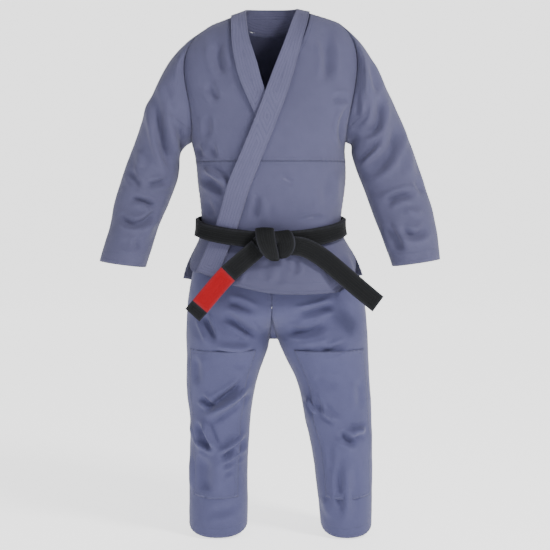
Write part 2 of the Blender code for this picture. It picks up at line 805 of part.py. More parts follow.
def make_back(cloth, mitres):
    """The back in one piece, from side seam to side seam and up to the shoulders."""
    places = back_columns()
    lower_shares = [step / 12 for step in range(12, 0, -1)]
    upper = [CHEST_SEAM - CHEST, -0.306 - CHEST] + arm_climbs()
    rows = len(lower_shares) + len(upper) - 1
    first_mitre = rows + 1 - len(arm_climbs())

    def place(column, row, out):
        across = places[column]
        if row < len(lower_shares):
            low = lower_climb(across, lower_shares[row], 1, CHEST_SEAM, BACK_HEM)
            across *= abs(side_end(CHEST + low, 1, BACK_VENT_SHARE))
            climb = lower_climb(across, lower_shares[row], 1, CHEST_SEAM, BACK_HEM)
        else:
            climb = upper[row - len(lower_shares)]
            if climb > 0:
                climb *= neck_climb(across)
        point = torso_point(across, climb, 1)
        normal = torso_normal(point)
        edge = (1, row - first_mitre)
        if column in (0, len(places) - 1) and edge in mitres[1]:
            normal = mitres[-1 if column == 0 else 1][edge]
        return point + normal * out

    wall("jacket_back", len(places) - 1, rows,
         lambda column, row: place(column, row, 0.0),
         lambda column, row: place(column, row, JACKET_WALL), cloth)


def lapel_stations():
    """Sections of the one long band: points across it, outward directions and distance out."""
    stations = []
    steps = 26
    for step in range(steps):
        stations.append(_front_station(
            UNDER_LAPEL, step / steps, lambda point: UNDER_LAPEL_LIFT + skirt_room(point)))
    for degrees in (180, 165, 150, 132, 114, 96, 84, 66, 48, 30, 15, 0):
        stations.append(_collar_station(float(degrees)))
    for step in range(steps - 1, -1, -1):
        stations.append(_front_station(
            OVER_LAPEL, step / steps, lambda point: UNDER_LAPEL_LIFT + _over_share(point)))
    return stations


def _over_share(point):
    """What the over lapel adds to its distance out, below the neck."""
    more = OVER_LAPEL_LIFT - UNDER_LAPEL_LIFT + 3 * skirt_room(point)
    return more * (1.0 - smooth(point.z, -0.175, -0.075))


def _front_station(table, share, lift):
    """A section of the band on the chest, turning into the collar's first section at the shoulder."""
    way = 1.0 - (1.0 - share) ** 1.35
    section = _chest_section(table, way, lift)
    turning = smooth(way, 0.84, 1.0)
    if turning == 0.0:
        return section
    collar = _collar_station(180.0 if table is UNDER_LAPEL else 0.0)
    flat = _chest_section(table, 1.0, lift)
    turned = []
    for (point, normal), (goal, goal_normal), (start, _) in zip(section, collar, flat):
        turned.append((point + (goal - start) * turning, normal.lerp(goal_normal, turning).normalized()))
    return turned


def _chest_section(table, way, lift):
    """A section of the band lying on the torso's front."""
    inner_x, inner_z, outer_x, outer_z = row_at(table, way)
    section = []
    for step in range(4):
        across = step / 3
        point = torso_front(inner_x + (outer_x - inner_x) * across, inner_z + (outer_z - inner_z) * across)
        normal = torso_normal(point)
        section.append((point + normal * lift(point), normal))
    return section


def _collar_station(degrees):
    """A section of the band where it stands round the back of the neck."""
    turn = math.radians(degrees)
    half = 0.094 if degrees < 90 else 0.095
    x, y = half * math.cos(turn), NECK_DEPTH * math.sin(turn)
    across = neck_across(x)
    foot = torso_point(across, neck_climb(across), 1)
    foot = Vector((foot.x, max(foot.y, y * 0.999), foot.z))
    low = foot + torso_normal(foot) * UNDER_LAPEL_LIFT
    top = Vector(row_at(COLLAR_TOP, degrees))
    along = Vector((math.sin(turn), -math.cos(turn), 0.0))
    out = (top - low).cross(along).normalized()
    if out.dot(Vector((math.cos(turn), math.sin(turn), 0.0))) < 0:
        out = -out
    return [(top + (low - top) * step / 3, out) for step in range(4)]


def make_lapel(cloth):
    """The lapel and collar band."""
    stations = lapel_stations()
    wall("lapel_collar", 3, len(stations) - 1,
         lambda column, row: stations[row][column][0],
         lambda column, row: stations[row][column][0] + stations[row][column][1] * LAPEL_WALL, cloth)


# Trousers

def pelvis_point(turn, height, side):
    """A point of one half of the seat: turn runs from 0 at the centre front to 1 at the centre back."""
    right, left, front, back = row_at(PELVIS, height)
    outer = right if side < 0 else left
    angle = turn * math.pi
    depth = front if turn < 0.5 else back
    x = CENTRE_SEAM_X + (outer - CENTRE_SEAM_X) * max(math.sin(angle), 0.0) ** (2 / LEG_SQUARE)
    return Vector((x, -depth * power(math.cos(angle), 2 / LEG_SQUARE), height))


def leg_point(turn, height, side):
    """A point of a leg: turn runs from 0 at the inseam, round the front and the outside, back to 1."""
    outer, inner, front, back = row_at(RIGHT_LEG if side < 0 else LEFT_LEG, height)
    angle = turn * 2 * math.pi
    depth = front if turn < 0.5 else back
    x = (outer + inner) / 2 + (inner - outer) / 2 * power(math.cos(angle), 2 / LEG_SQUARE)
    return Vector((x, -depth * power(math.sin(angle), 2 / LEG_SQUARE), height))


def trouser_point(turn, height, side):
    """A point of one half of the trousers, from seat to hem."""
    leg_share = smooth(-height, -FORK_TOP, -CROTCH) ** 1.4
    point = pelvis_point(turn, height, side).lerp(leg_point(turn, height, side), leg_share)
    edge = 1.0 - smooth(min(turn, 1.0 - turn), 0.0, 0.08)
    opening = SEAM_GAP / 2 + FORK_SPREAD * smooth(leg_share, 0.0, 0.25) * (1.0 - leg_share)
    point.x += side * opening * edge
    dip = smooth(-height, 1.06, -LEG_HEM)
    point.z -= HEM_DIP * dip * -point.y / 0.08
    return point


def leg_points(side):
    """A trouser half's grid of points, with its folds, and its outward directions."""
    folds = RIGHT_LEG_FOLDS if side < 0 else LEFT_LEG_FOLDS
    points = []
    for height in LEG_HEIGHTS:
        points.append([trouser_point(column / LEG_COLUMNS, height, side) for column in range(LEG_COLUMNS + 1)])
    sewn = LEG_HEIGHTS.index(CROTCH)
    normals = grid_normals(points, lambda row: row >= sewn, -side)
    for row, line in enumerate(points):
        for column, point in enumerate(line):
            normal = normals[row][column]
            front = smooth(-normal.y, 0.0, 0.4) * smooth(-point.z, 0.665, 0.70)
            line[column] = point + normal * fold_at(folds, point.x, point.z) * front
    for row in range(sewn, len(points)):
        points[row][-1] = points[row][0]
        normals[row][-1] = normals[row][0]
    return points, normals, sewn


def make_leg(label, side, cloth):
    """One trouser half and the knee patch sewn on its front."""
    points, normals, sewn = leg_points(side)
    wall(f"trouser_leg_{label}", LEG_COLUMNS, len(points) - 1,
         lambda column, row: points[row][column],
         lambda column, row: points[row][column] + normals[row][column] * TROUSER_WALL,
         cloth, joined=lambda row: row >= sewn)
    first_column, last_column = PATCH_COLUMNS
    first_row, last_row = PATCH_ROWS

    def patch(column, row, out):
        column, row = column + first_column, row + first_row
        return points[row][column] + normals[row][column] * out

    low = TROUSER_WALL + SEAM_GAP
    wall(f"knee_patch_{label}", last_column - first_column, last_row - first_row,
         lambda column, row: patch(column, row, low),
         lambda column, row: patch(column, row, low + PATCH_WALL), cloth)
    return points


def make_gusset(right, left, cloth):
    """The diamond between the legs, from the front of the fork under it to the back."""
    sewn = LEG_HEIGHTS.index(CROTCH)
    first = LEG_HEIGHTS.index(FORK_TOP) + 2
    edges = [(right[row][0], left[row][0]) for row in range(first, sewn + 1)]
    edges += [(right[row][-1], left[row][-1]) for row in range(sewn - 1, first - 1, -1)]
    room = TROUSER_WALL + 2 * SEAM_GAP
    points = []
    for start, end in edges:
        across = (end - start).normalized()
        low, high = start + across * room, end - across * room
        points.append([low.lerp(high, step / 2) for step in range(3)])
    normals = grid_normals(points, lambda row: False, -1)
    wall("crotch_gusset", 2, len(points) - 1,
         lambda column, row: points[row][column],
         lambda column, row: points[row][column] + normals[row][column] * TROUSER_WALL, cloth)


def make_waistband(cloth):
    """The plain band round the top of the trousers."""
    heights = (WAIST_TOP, (WAIST_TOP + WAIST_SEAM) / 2, WAIST_SEAM + SEAM_GAP)
    points = []
    for height in heights:
        left = [pelvis_point(column / LEG_COLUMNS, height, 1) for column in range(LEG_COLUMNS + 1)]
        right = [pelvis_point(column / LEG_COLUMNS, height, -1) for column in range(LEG_COLUMNS, -1, -1)]
        points.append(left + right[1:])
    normals = grid_normals(points, lambda row: True, 1)
    wall("trouser_waistband", 2 * LEG_COLUMNS, len(heights) - 1,
         lambda column, row: points[row][column],
         lambda column, row: points[row][column] + normals[row][column] * TROUSER_WALL,
         cloth, joined=lambda row: True)


# Belt

def belt_point(column, row, lift, drop):
    """A point of a belt turn."""
    degrees = -180.0 + 360.0 * column / BELT_COLUMNS
    middle, stand = row_at(BELT_TURN, degrees)
    height = middle - drop + BELT_WIDTH * (row / BELT_ROWS - 0.5)
    side = -1 if abs(degrees) < 90.0 else 1
    across = degrees / 90.0 if side < 0 else math.copysign(2.0 - abs(degrees) / 90.0, degrees)
    point = torso_point(across, height - CHEST, side)
    if abs(abs(degrees) - 90.0) < 0.01 or abs(degrees) == 180.0:
        point.x = point.x if abs(degrees) < 170.0 else (row_at(TORSO, height)[0] + row_at(TORSO, height)[1]) / 2
    return point + torso_normal(point) * (stand + lift)


def make_turn(name, lift, drop, cloth):
    """One turn of the belt round the waist."""
    wall(name, BELT_COLUMNS, BELT_ROWS,
         lambda column, row: belt_point(column, row, lift, drop),
         lambda column, row: belt_point(column, row, lift + BELT_WALL, drop),
         cloth, joined=lambda row: True)


def make_strip(name, path, first, end, thickness, steps, cloth):
    """A flat stretch of belt between two rows of a path, turned about it by the path's twist."""
    table = [(index,) + tuple(row) for index, row in enumerate(path)]
    last = len(path) - 1

    def place(column, row, out):
        way = first + (end - first) * row / steps
        x, y, height, twist = row_at(table, way)
        ahead = Vector(row_at(table, min(way + 0.05, last))[:3])
        behind = Vector(row_at(table, max(way - 0.05, 0.0))[:3])
        along = (ahead - behind).normalized()
        facing = Vector((0.0, -math.cos(math.radians(twist)), -math.sin(math.radians(twist))))
        across = along.cross(facing).normalized()
        out_way = across.cross(along).normalized()
        if out_way.y > 0:
            out_way = -out_way
        return Vector((x, y, height)) + across * BELT_WIDTH * (column / 2 - 0.5) + out_way * out

    wall(name, 2, steps,
         lambda column, row: place(column, row, -thickness / 2),
         lambda column, row: place(column, row, thickness / 2), cloth)


def make_knot(cloth):
    """The square knot as one crowned lump in front of the outer turn."""
    count = len(KNOT_OUTLINE)
    middle_x = sum(row[0] for row in KNOT_OUTLINE) / count
    middle_z = sum(row[1] for row in KNOT_OUTLINE) / count
    bm = bmesh.new()
    loops = []
    for depth, share in KNOT_LEVELS:
        loop = []
        for x, height in KNOT_OUTLINE:
            spot = (middle_x + (x - middle_x) * share, depth, middle_z + (height - middle_z) * share)
            loop.append(bm.verts.new(spot))
        loops.append(loop)
    for back, front in zip(loops, loops[1:]):
        for index in range(count):
            after = (index + 1) % count
            bm.faces.new((back[index], back[after], front[after], front[index]))
    bm.faces.new(loops[0])
    bm.faces.new(loops[-1])
    add_object("belt_knot", bm, cloth)


def make_jacket():
    """Sleeves, fronts, back and lapel."""
    cloth = material("jacket_cloth", JACKET_BLUE, 0.85)
    mitres = {
        -1: make_sleeve("sleeve_right", -1, cloth),
        1: make_sleeve("sleeve_left", 1, cloth),
    }
    make_fronts(cloth, mitres)
    make_back(cloth, mitres)
    make_lapel(cloth)


def make_trousers():
    """Legs, knee patches, gusset and waistband."""
    cloth = material("trouser_cloth", TROUSER_BLUE, 0.85)
    right = make_leg("right", -1, cloth)
    left = make_leg("left", 1, cloth)
    make_gusset(right, left, cloth)
    make_waistband(cloth)


def make_belt():
    """Two turns, the knot, the tail with the bar and the plain tail."""
    cloth = material("belt_cloth", BELT_BLACK, 0.8)
    red = material("bar_cloth", BAR_RED, 0.8)
    make_turn("belt_turn_inner", 0.0, 0.0, cloth)
    make_turn("belt_turn_outer", BELT_WALL + TURN_GAP, OUTER_TURN_DROP, cloth)
    make_knot(cloth)
    end = len(BAR_TAIL) - 1
    make_strip("belt_tail_bar", BAR_TAIL, 0, BAR_START - BAR_GAP, BELT_WALL, 6, cloth)
    make_strip("belt_bar", BAR_TAIL, BAR_START, BAR_END, BAR_WALL, 6, red)
    make_strip("belt_tip", BAR_TAIL, BAR_END + BAR_GAP, end, BELT_WALL, 2, cloth)
    make_strip("belt_tail_plain", PLAIN_TAIL, 0, len(PLAIN_TAIL) - 1, BELT_WALL, 12, cloth)


def main():
    """Clear the scene and build the garment."""
    for old in list(bpy.data.objects):
        bpy.data.objects.remove(old, do_unlink=True)
    make_jacket()
    make_trousers()
    make_belt()


main()
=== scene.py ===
"""Looks of the jiu-jitsu gi: cloth, stitching, creases, belt and a plain stage round the CAD frame."""

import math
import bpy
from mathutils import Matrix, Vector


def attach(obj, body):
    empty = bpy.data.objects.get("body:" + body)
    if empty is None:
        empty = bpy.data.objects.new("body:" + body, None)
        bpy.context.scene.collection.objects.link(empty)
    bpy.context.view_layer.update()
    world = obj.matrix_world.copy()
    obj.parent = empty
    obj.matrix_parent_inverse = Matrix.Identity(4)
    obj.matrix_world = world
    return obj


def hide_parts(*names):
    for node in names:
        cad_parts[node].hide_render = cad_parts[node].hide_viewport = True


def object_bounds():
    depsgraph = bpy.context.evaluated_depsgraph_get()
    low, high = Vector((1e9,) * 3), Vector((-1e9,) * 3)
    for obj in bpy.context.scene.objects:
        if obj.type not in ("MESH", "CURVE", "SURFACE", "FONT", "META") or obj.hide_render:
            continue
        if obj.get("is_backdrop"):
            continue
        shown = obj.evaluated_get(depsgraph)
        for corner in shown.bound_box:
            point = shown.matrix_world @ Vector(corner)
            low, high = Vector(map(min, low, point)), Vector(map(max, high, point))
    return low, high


bl_info = {
    "name": "Jiu-jitsu gi",
    "version": (1, 0, 0),
    "blender": (4, 5, 0),
    "location": "3D View > Sidebar > Gi",
    "description": "Builds the worn jacket, trousers and belt of a jiu-jitsu gi as soft cloth",
    "category": "Object",
}

import bmesh
import bpy
import numpy as np
from bpy.props import FloatProperty, FloatVectorProperty, IntProperty, PointerProperty
from mathutils import Vector
from mathutils.kdtree import KDTree

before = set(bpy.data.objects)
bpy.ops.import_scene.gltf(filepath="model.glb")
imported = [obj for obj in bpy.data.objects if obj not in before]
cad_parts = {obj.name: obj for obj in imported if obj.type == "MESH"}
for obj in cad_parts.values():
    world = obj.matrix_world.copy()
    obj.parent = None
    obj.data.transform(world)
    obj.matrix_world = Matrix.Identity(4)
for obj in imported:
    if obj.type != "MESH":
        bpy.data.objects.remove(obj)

BODY = "root"

# Creases, seen from the front in metres. Each is a curve from start to end, pulled towards its middle point.
# A depth below zero is a trough. Lean makes the side that faces right (or down) steeper.
# The columns of each table: start x, start z, middle x, middle z, end x, end z, depth, width, lean.
# The tables for the backs of the sleeves and legs are for the left one, and the right one mirrors them.
JACKET_FRONT_CREASES = [
    (-0.128, -0.034, -0.142, -0.084, -0.108, -0.125, -0.006, 0.013, 0.3),
    (-0.154, -0.140, -0.142, -0.170, -0.126, -0.185, -0.004, 0.011, 0.2),
    (-0.171, -0.342, -0.135, -0.362, -0.100, -0.392, 0.007, 0.009, 0.3),
    (-0.173, -0.362, -0.142, -0.386, -0.104, -0.412, -0.007, 0.011, 0.0),
    (-0.150, -0.280, -0.136, -0.315, -0.128, -0.356, -0.005, 0.009, 0.3),
    (-0.184, -0.285, -0.178, -0.310, -0.160, -0.333, -0.004, 0.008, 0.0),
    (-0.160, -0.215, -0.150, -0.240, -0.156, -0.275, -0.003, 0.010, 0.0),
    (-0.165, -0.420, -0.152, -0.440, -0.140, -0.470, -0.0035, 0.010, 0.2),
    (0.130, -0.024, 0.145, -0.084, 0.134, -0.142, -0.006, 0.013, -0.3),
    (0.198, -0.190, 0.150, -0.250, 0.188, -0.303, -0.006, 0.010, 0.3),
    (0.142, -0.183, 0.170, -0.176, 0.200, -0.184, -0.0045, 0.009, 0.0),
    (-0.030, -0.402, -0.036, -0.440, -0.044, -0.482, -0.004, 0.008, 0.2),
    (-0.012, -0.420, -0.016, -0.452, -0.018, -0.490, 0.0025, 0.010, 0.0),
    (0.062, -0.486, 0.092, -0.462, 0.136, -0.468, -0.005, 0.007, 0.3),
    (0.120, -0.360, 0.140, -0.420, 0.138, -0.462, -0.003, 0.016, 0.0),
    (0.020, -0.362, 0.034, -0.378, 0.060, -0.386, -0.002, 0.008, 0.0),
    (0.165, -0.345, 0.160, -0.390, 0.150, -0.440, 0.003, 0.014, 0.0),
    (0.058, -0.562, 0.061, -0.580, 0.060, -0.606, -0.0035, 0.008, 0.0),
    (0.010, -0.575, 0.006, -0.600, 0.000, -0.625, 0.003, 0.012, 0.0),
    (0.128, -0.540, 0.134, -0.580, 0.150, -0.620, -0.0035, 0.012, 0.2),
    (-0.075, -0.575, -0.080, -0.600, -0.088, -0.625, -0.0035, 0.009, 0.0),
    (0.180, -0.550, 0.196, -0.590, 0.205, -0.630, 0.003, 0.010, 0.0),
]
JACKET_BACK_CREASES = [
    (-0.140, -0.060, -0.150, -0.130, -0.120, -0.190, -0.005, 0.015, 0.3),
    (0.136, -0.055, 0.152, -0.120, 0.130, -0.200, -0.005, 0.014, -0.3),
    (-0.165, -0.300, -0.130, -0.335, -0.085, -0.345, -0.0045, 0.011, 0.2),
    (0.168, -0.310, 0.120, -0.350, 0.070, -0.350, -0.0045, 0.012, 0.2),
    (-0.150, -0.400, -0.080, -0.425, -0.010, -0.415, -0.005, 0.012, 0.3),
    (0.155, -0.385, 0.090, -0.400, 0.030, -0.390, -0.004, 0.012, 0.3),
    (-0.100, -0.435, -0.030, -0.450, 0.050, -0.440, 0.003, 0.012, 0.0),
    (0.000, -0.120, 0.004, -0.200, -0.006, -0.290, -0.0025, 0.022, 0.0),
    (-0.090, -0.530, -0.095, -0.580, -0.108, -0.640, -0.0045, 0.013, 0.0),
    (0.050, -0.530, 0.054, -0.580, 0.060, -0.640, -0.005, 0.014, 0.0),
    (0.140, -0.530, 0.155, -0.580, 0.165, -0.630, 0.003, 0.012, 0.0),
    (-0.160, -0.530, -0.178, -0.570, -0.190, -0.615, 0.003, 0.012, 0.0),
]
RIGHT_SLEEVE_CREASES = [
    (-0.278, -0.150, -0.276, -0.315, -0.226, -0.362, -0.010, 0.015, 0.2),
    (-0.293, -0.200, -0.284, -0.310, -0.250, -0.368, 0.0045, 0.009, 0.0),
    (-0.250, -0.120, -0.252, -0.180, -0.240, -0.225, -0.004, 0.013, 0.0),
    (-0.228, -0.235, -0.212, -0.270, -0.218, -0.318, -0.0045, 0.010, 0.0),
    (-0.306, -0.386, -0.275, -0.388, -0.246, -0.374, -0.0065, 0.008, 0.3),
    (-0.348, -0.420, -0.308, -0.418, -0.278, -0.446, -0.0075, 0.008, 0.3),
    (-0.374, -0.455, -0.328, -0.514, -0.272, -0.446, -0.008, 0.009, 0.3),
    (-0.352, -0.345, -0.336, -0.370, -0.315, -0.398, -0.005, 0.010, 0.2),
    (-0.328, -0.508, -0.326, -0.525, -0.322, -0.542, -0.004, 0.008, 0.0),
    (-0.372, -0.520, -0.340, -0.546, -0.300, -0.530, -0.003, 0.011, 0.2),
    (-0.320, -0.300, -0.322, -0.330, -0.315, -0.350, 0.003, 0.012, 0.0),
    (-0.290, -0.480, -0.300, -0.510, -0.312, -0.520, 0.003, 0.009, 0.0),
]
LEFT_SLEEVE_CREASES = [
    (0.230, -0.080, 0.250, -0.120, 0.262, -0.172, -0.006, 0.011, 0.0),
    (0.260, -0.165, 0.278, -0.268, 0.208, -0.262, -0.0085, 0.012, 0.3),
    (0.306, -0.225, 0.306, -0.345, 0.216, -0.358, -0.0095, 0.015, 0.3),
    (0.218, -0.345, 0.250, -0.322, 0.278, -0.280, 0.0055, 0.009, 0.0),
    (0.212, -0.150, 0.206, -0.190, 0.207, -0.228, -0.005, 0.009, 0.0),
    (0.276, -0.440, 0.300, -0.408, 0.356, -0.412, -0.008, 0.010, 0.3),
    (0.314, -0.492, 0.352, -0.530, 0.386, -0.488, -0.0075, 0.010, 0.3),
    (0.276, -0.480, 0.306, -0.512, 0.318, -0.558, -0.0065, 0.012, 0.2),
    (0.335, -0.290, 0.345, -0.330, 0.338, -0.372, 0.004, 0.014, 0.0),
    (0.350, -0.372, 0.366, -0.388, 0.378, -0.412, -0.004, 0.010, 0.0),
    (0.320, -0.445, 0.345, -0.460, 0.376, -0.455, 0.0035, 0.010, 0.0),
]
SLEEVE_BACK_CREASES = [
    (0.250, -0.130, 0.262, -0.230, 0.222, -0.290, -0.008, 0.014, 0.2),
    (0.225, -0.320, 0.270, -0.345, 0.320, -0.310, -0.006, 0.012, 0.3),
    (0.262, -0.410, 0.310, -0.425, 0.372, -0.385, -0.008, 0.011, 0.3),
    (0.280, -0.450, 0.325, -0.470, 0.380, -0.440, -0.006, 0.010, 0.3),
    (0.300, -0.510, 0.340, -0.535, 0.392, -0.515, -0.0045, 0.012, 0.2),
    (0.300, -0.200, 0.318, -0.245, 0.330, -0.290, -0.004, 0.014, 0.0),
]
RIGHT_LEG_CREASES = [
    (-0.120, -0.700, -0.070, -0.722, -0.034, -0.766, -0.0085, 0.011, 0.3),
    (-0.170, -0.700, -0.154, -0.735, -0.134, -0.772, -0.0075, 0.010, 0.2),
    (-0.138, -0.772, -0.090, -0.794, -0.036, -0.780, 0.006, 0.010, 0.0),
    (-0.110, -0.668, -0.070, -0.676, -0.030, -0.700, -0.005, 0.010, 0.2),
    (-0.176, -0.905, -0.160, -0.915, -0.140, -0.937, -0.0065, 0.008, 0.3),
    (-0.172, -0.962, -0.115, -0.936, -0.050, -0.880, 0.010, 0.011, 0.2),
    (-0.160, -0.934, -0.110, -0.908, -0.052, -0.858, -0.006, 0.010, 0.0),
    (-0.172, -0.960, -0.156, -1.000, -0.133, -1.046, 0.007, 0.008, 0.0),
    (-0.186, -0.965, -0.174, -1.010, -0.152, -1.052, -0.008, 0.011, 0.0),
    (-0.134, -1.046, -0.100, -1.032, -0.060, -0.996, 0.0065, 0.008, 0.0),
    (-0.132, -1.064, -0.095, -1.050, -0.056, -1.018, -0.006, 0.009, 0.2),
    (-0.190, -1.015, -0.165, -1.042, -0.134, -1.046, 0.0045, 0.007, 0.0),
    (-0.127, -1.084, -0.100, -1.078, -0.068, -1.054, -0.0045, 0.007, 0.2),
    (-0.122, -1.103, -0.100, -1.098, -0.074, -1.078, -0.0035, 0.007, 0.2),
    (-0.166, -1.045, -0.165, -1.100, -0.163, -1.162, -0.008, 0.020, 0.0),
    (-0.160, -1.190, -0.120, -1.205, -0.078, -1.170, -0.003, 0.012, 0.0),
    (-0.100, -0.815, -0.075, -0.830, -0.045, -0.822, -0.003, 0.012, 0.0),
    (-0.190, -0.800, -0.180, -0.840, -0.182, -0.880, -0.0035, 0.012, 0.0),
]
LEFT_LEG_CREASES = [
    (0.048, -0.702, 0.100, -0.698, 0.162, -0.674, -0.0075, 0.010, 0.3),
    (0.034, -0.740, 0.100, -0.752, 0.143, -0.720, -0.0075, 0.010, 0.3),
    (0.060, -0.768, 0.110, -0.778, 0.150, -0.752, 0.004, 0.010, 0.0),
    (0.112, -0.792, 0.150, -0.796, 0.190, -0.772, -0.0055, 0.010, 0.3),
    (0.086, -0.908, 0.099, -0.930, 0.114, -0.955, 0.006, 0.006, 0.0),
    (0.100, -0.900, 0.113, -0.925, 0.128, -0.950, -0.006, 0.008, 0.0),
    (0.116, -0.928, 0.140, -0.952, 0.168, -0.968, 0.0045, 0.008, 0.0),
    (0.192, -0.996, 0.214, -0.989, 0.236, -0.993, 0.008, 0.009, 0.0),
    (0.168, -0.990, 0.190, -1.020, 0.216, -1.020, -0.0085, 0.010, 0.2),
    (0.164, -1.040, 0.172, -1.130, 0.172, -1.224, -0.0045, 0.010, 0.2),
    (0.184, -1.055, 0.190, -1.140, 0.190, -1.226, 0.0035, 0.013, 0.0),
    (0.140, -1.020, 0.148, -1.060, 0.150, -1.110, -0.003, 0.010, 0.0),
    (0.105, -0.850, 0.130, -0.872, 0.170, -0.878, -0.003, 0.014, 0.0),
    (0.215, -0.860, 0.222, -0.900, 0.220, -0.945, -0.0035, 0.012, 0.0),
    (0.130, -1.160, 0.140, -1.185, 0.146, -1.215, 0.003, 0.010, 0.0),
]
LEG_BACK_CREASES = [
    (0.030, -0.730, 0.090, -0.765, 0.180, -0.750, -0.007, 0.012, 0.3),
    (0.045, -0.790, 0.110, -0.812, 0.190, -0.790, -0.006, 0.012, 0.3),
    (0.085, -0.930, 0.150, -0.950, 0.225, -0.925, -0.008, 0.011, 0.3),
    (0.095, -0.965, 0.150, -0.985, 0.230, -0.970, -0.007, 0.010, 0.3),
    (0.110, -1.010, 0.160, -1.030, 0.220, -1.005, -0.0045, 0.011, 0.2),
    (0.170, -1.060, 0.176, -1.130, 0.180, -1.210, -0.004, 0.014, 0.0),
    (0.070, -0.670, 0.078, -0.710, 0.060, -0.745, -0.004, 0.014, 0.0),
]

# Middle lines of the tubes, from which creases push the cloth away
RIGHT_ARM_LINE = [
    (-0.150, 0.0, -0.150), (-0.250, 0.0, -0.215), (-0.312, -0.010, -0.400), (-0.366, -0.036, -0.583)]
LEFT_ARM_LINE = [
    (0.150, 0.0, -0.150), (0.245, 0.0, -0.205), (0.308, -0.010, -0.400), (0.359, -0.036, -0.579)]
RIGHT_LEG_LINE = [(-0.100, 0.0, -0.500), (-0.108, 0.0, -0.780), (-0.130, 0.0, -1.000), (-0.133, 0.0, -1.262)]
LEFT_LEG_LINE = [(0.100, 0.0, -0.500), (0.130, 0.0, -0.780), (0.176, 0.0, -1.000), (0.190, 0.0, -1.262)]
# The body's middle is a flat strip: half its width, and the height of its top.
TORSO_CORE = 0.085
TORSO_ARCH = -0.200
# Radius that the weave's map is unrolled with
TORSO_RADIUS = 0.115
LIMB_RADIUS = 0.075

# Creases: how far the listed width counts, where the ends fade, and the low shoulder on each side.
CREASE_SHARPNESS = 0.84
CREASE_REACH = 4
CREASE_TAPER = 0.34
SHOULDER_HEIGHT, SHOULDER_PLACE, SHOULDER_WIDTH = 0.45, 2.0, 0.8
# Front and back creases blend over this much of the sideways direction.
SIDE_LOW, SIDE_HIGH = 0.02, 0.5
RIPPLE_HEIGHT = 0.0007
# Creases keep off a seam's edge, and off the belt's height.
SEAM_ROOM = 0.004
BELT_HEIGHT, BELT_LOW, BELT_HIGH = -0.507, 0.026, 0.052
PUCKER_LENGTH, PUCKER_REACH = 0.014, 0.009

# The gusset is spread under the legs' edges, and its ends are drawn up the centre seam.
GUSSET_SPREAD, GUSSET_END_SPREAD, GUSSET_REACH, GUSSET_DRAW = 1.35, 0.9, 0.016, 0.012
FORK_LOW, FORK_HIGH, FORK_SEAM_X = -0.750, -0.722, 0.002

# Mesh work: angles in degrees, lengths in metres
MERGE_DISTANCE = 0.00002
JOIN_FACE_ANGLE, JOIN_SHAPE_ANGLE, RIM_ANGLE, SHARP_ANGLE = 40, 100, 55, 60
RIM_SPACING = 0.003
FREE_FAR, FREE_REACH = 0.2, 0.1

# The knot's straps: middle line, width, and how far each is turned about it
KNOT_STRAPS = {
    "knot_wrap": [
        # x, y, z, width, turn about the line in degrees
        (-0.015, -0.135, -0.496, 0.044, 0.0),
        (-0.015, -0.150, -0.4925, 0.046, 0.0),
        (-0.014, -0.165, -0.501, 0.047, 4.0),
        (-0.011, -0.172, -0.520, 0.046, 8.0),
        (-0.005, -0.1725, -0.538, 0.042, 10.0),
        (0.004, -0.166, -0.555, 0.032, 8.0),
        (0.012, -0.153, -0.566, 0.019, 4.0),
        (0.015, -0.140, -0.562, 0.013, 0.0),
    ],
    "knot_fold": [
        (0.014, -0.138, -0.503, 0.032, 0.0),
        (0.022, -0.155, -0.502, 0.039, -6.0),
        (0.032, -0.166, -0.513, 0.045, -12.0),
        (0.037, -0.1675, -0.529, 0.045, -16.0),
        (0.033, -0.164, -0.545, 0.036, -16.0),
        (0.024, -0.153, -0.558, 0.022, -8.0),
        (0.018, -0.141, -0.560, 0.013, 0.0),
    ],
    "knot_under": [
        # x, y, z, width, turn about the line in degrees
        (-0.035, -0.147, -0.533, 0.040, 0.0),
        (-0.020, -0.154, -0.525, 0.042, 0.0),
        (0.005, -0.158, -0.522, 0.042, 0.0),
        (0.028, -0.156, -0.525, 0.040, 0.0),
        (0.048, -0.149, -0.531, 0.038, 0.0),
    ],
}
STRAP_WIDTH_STEPS, STRAP_FINE_STEPS, STRAP_CROWN = 8, 8, 0.0028


def mirrored(creases):
    """The same creases on the other side of the body."""
    return [(-a, b, -c, d, -e, f, depth, width, -lean) for a, b, c, d, e, f, depth, width, lean in creases]


CREASES = {
    # core: creases in front, creases behind
    "torso": (JACKET_FRONT_CREASES, JACKET_BACK_CREASES),
    "right_arm": (RIGHT_SLEEVE_CREASES, mirrored(SLEEVE_BACK_CREASES)),
    "left_arm": (LEFT_SLEEVE_CREASES, SLEEVE_BACK_CREASES),
    "right_leg": (RIGHT_LEG_CREASES, mirrored(LEG_BACK_CREASES)),
    "left_leg": (LEFT_LEG_CREASES, LEG_BACK_CREASES),
}
PLAIN, FRONT_ONLY, BOTH_SIDES = 0, 1, 2
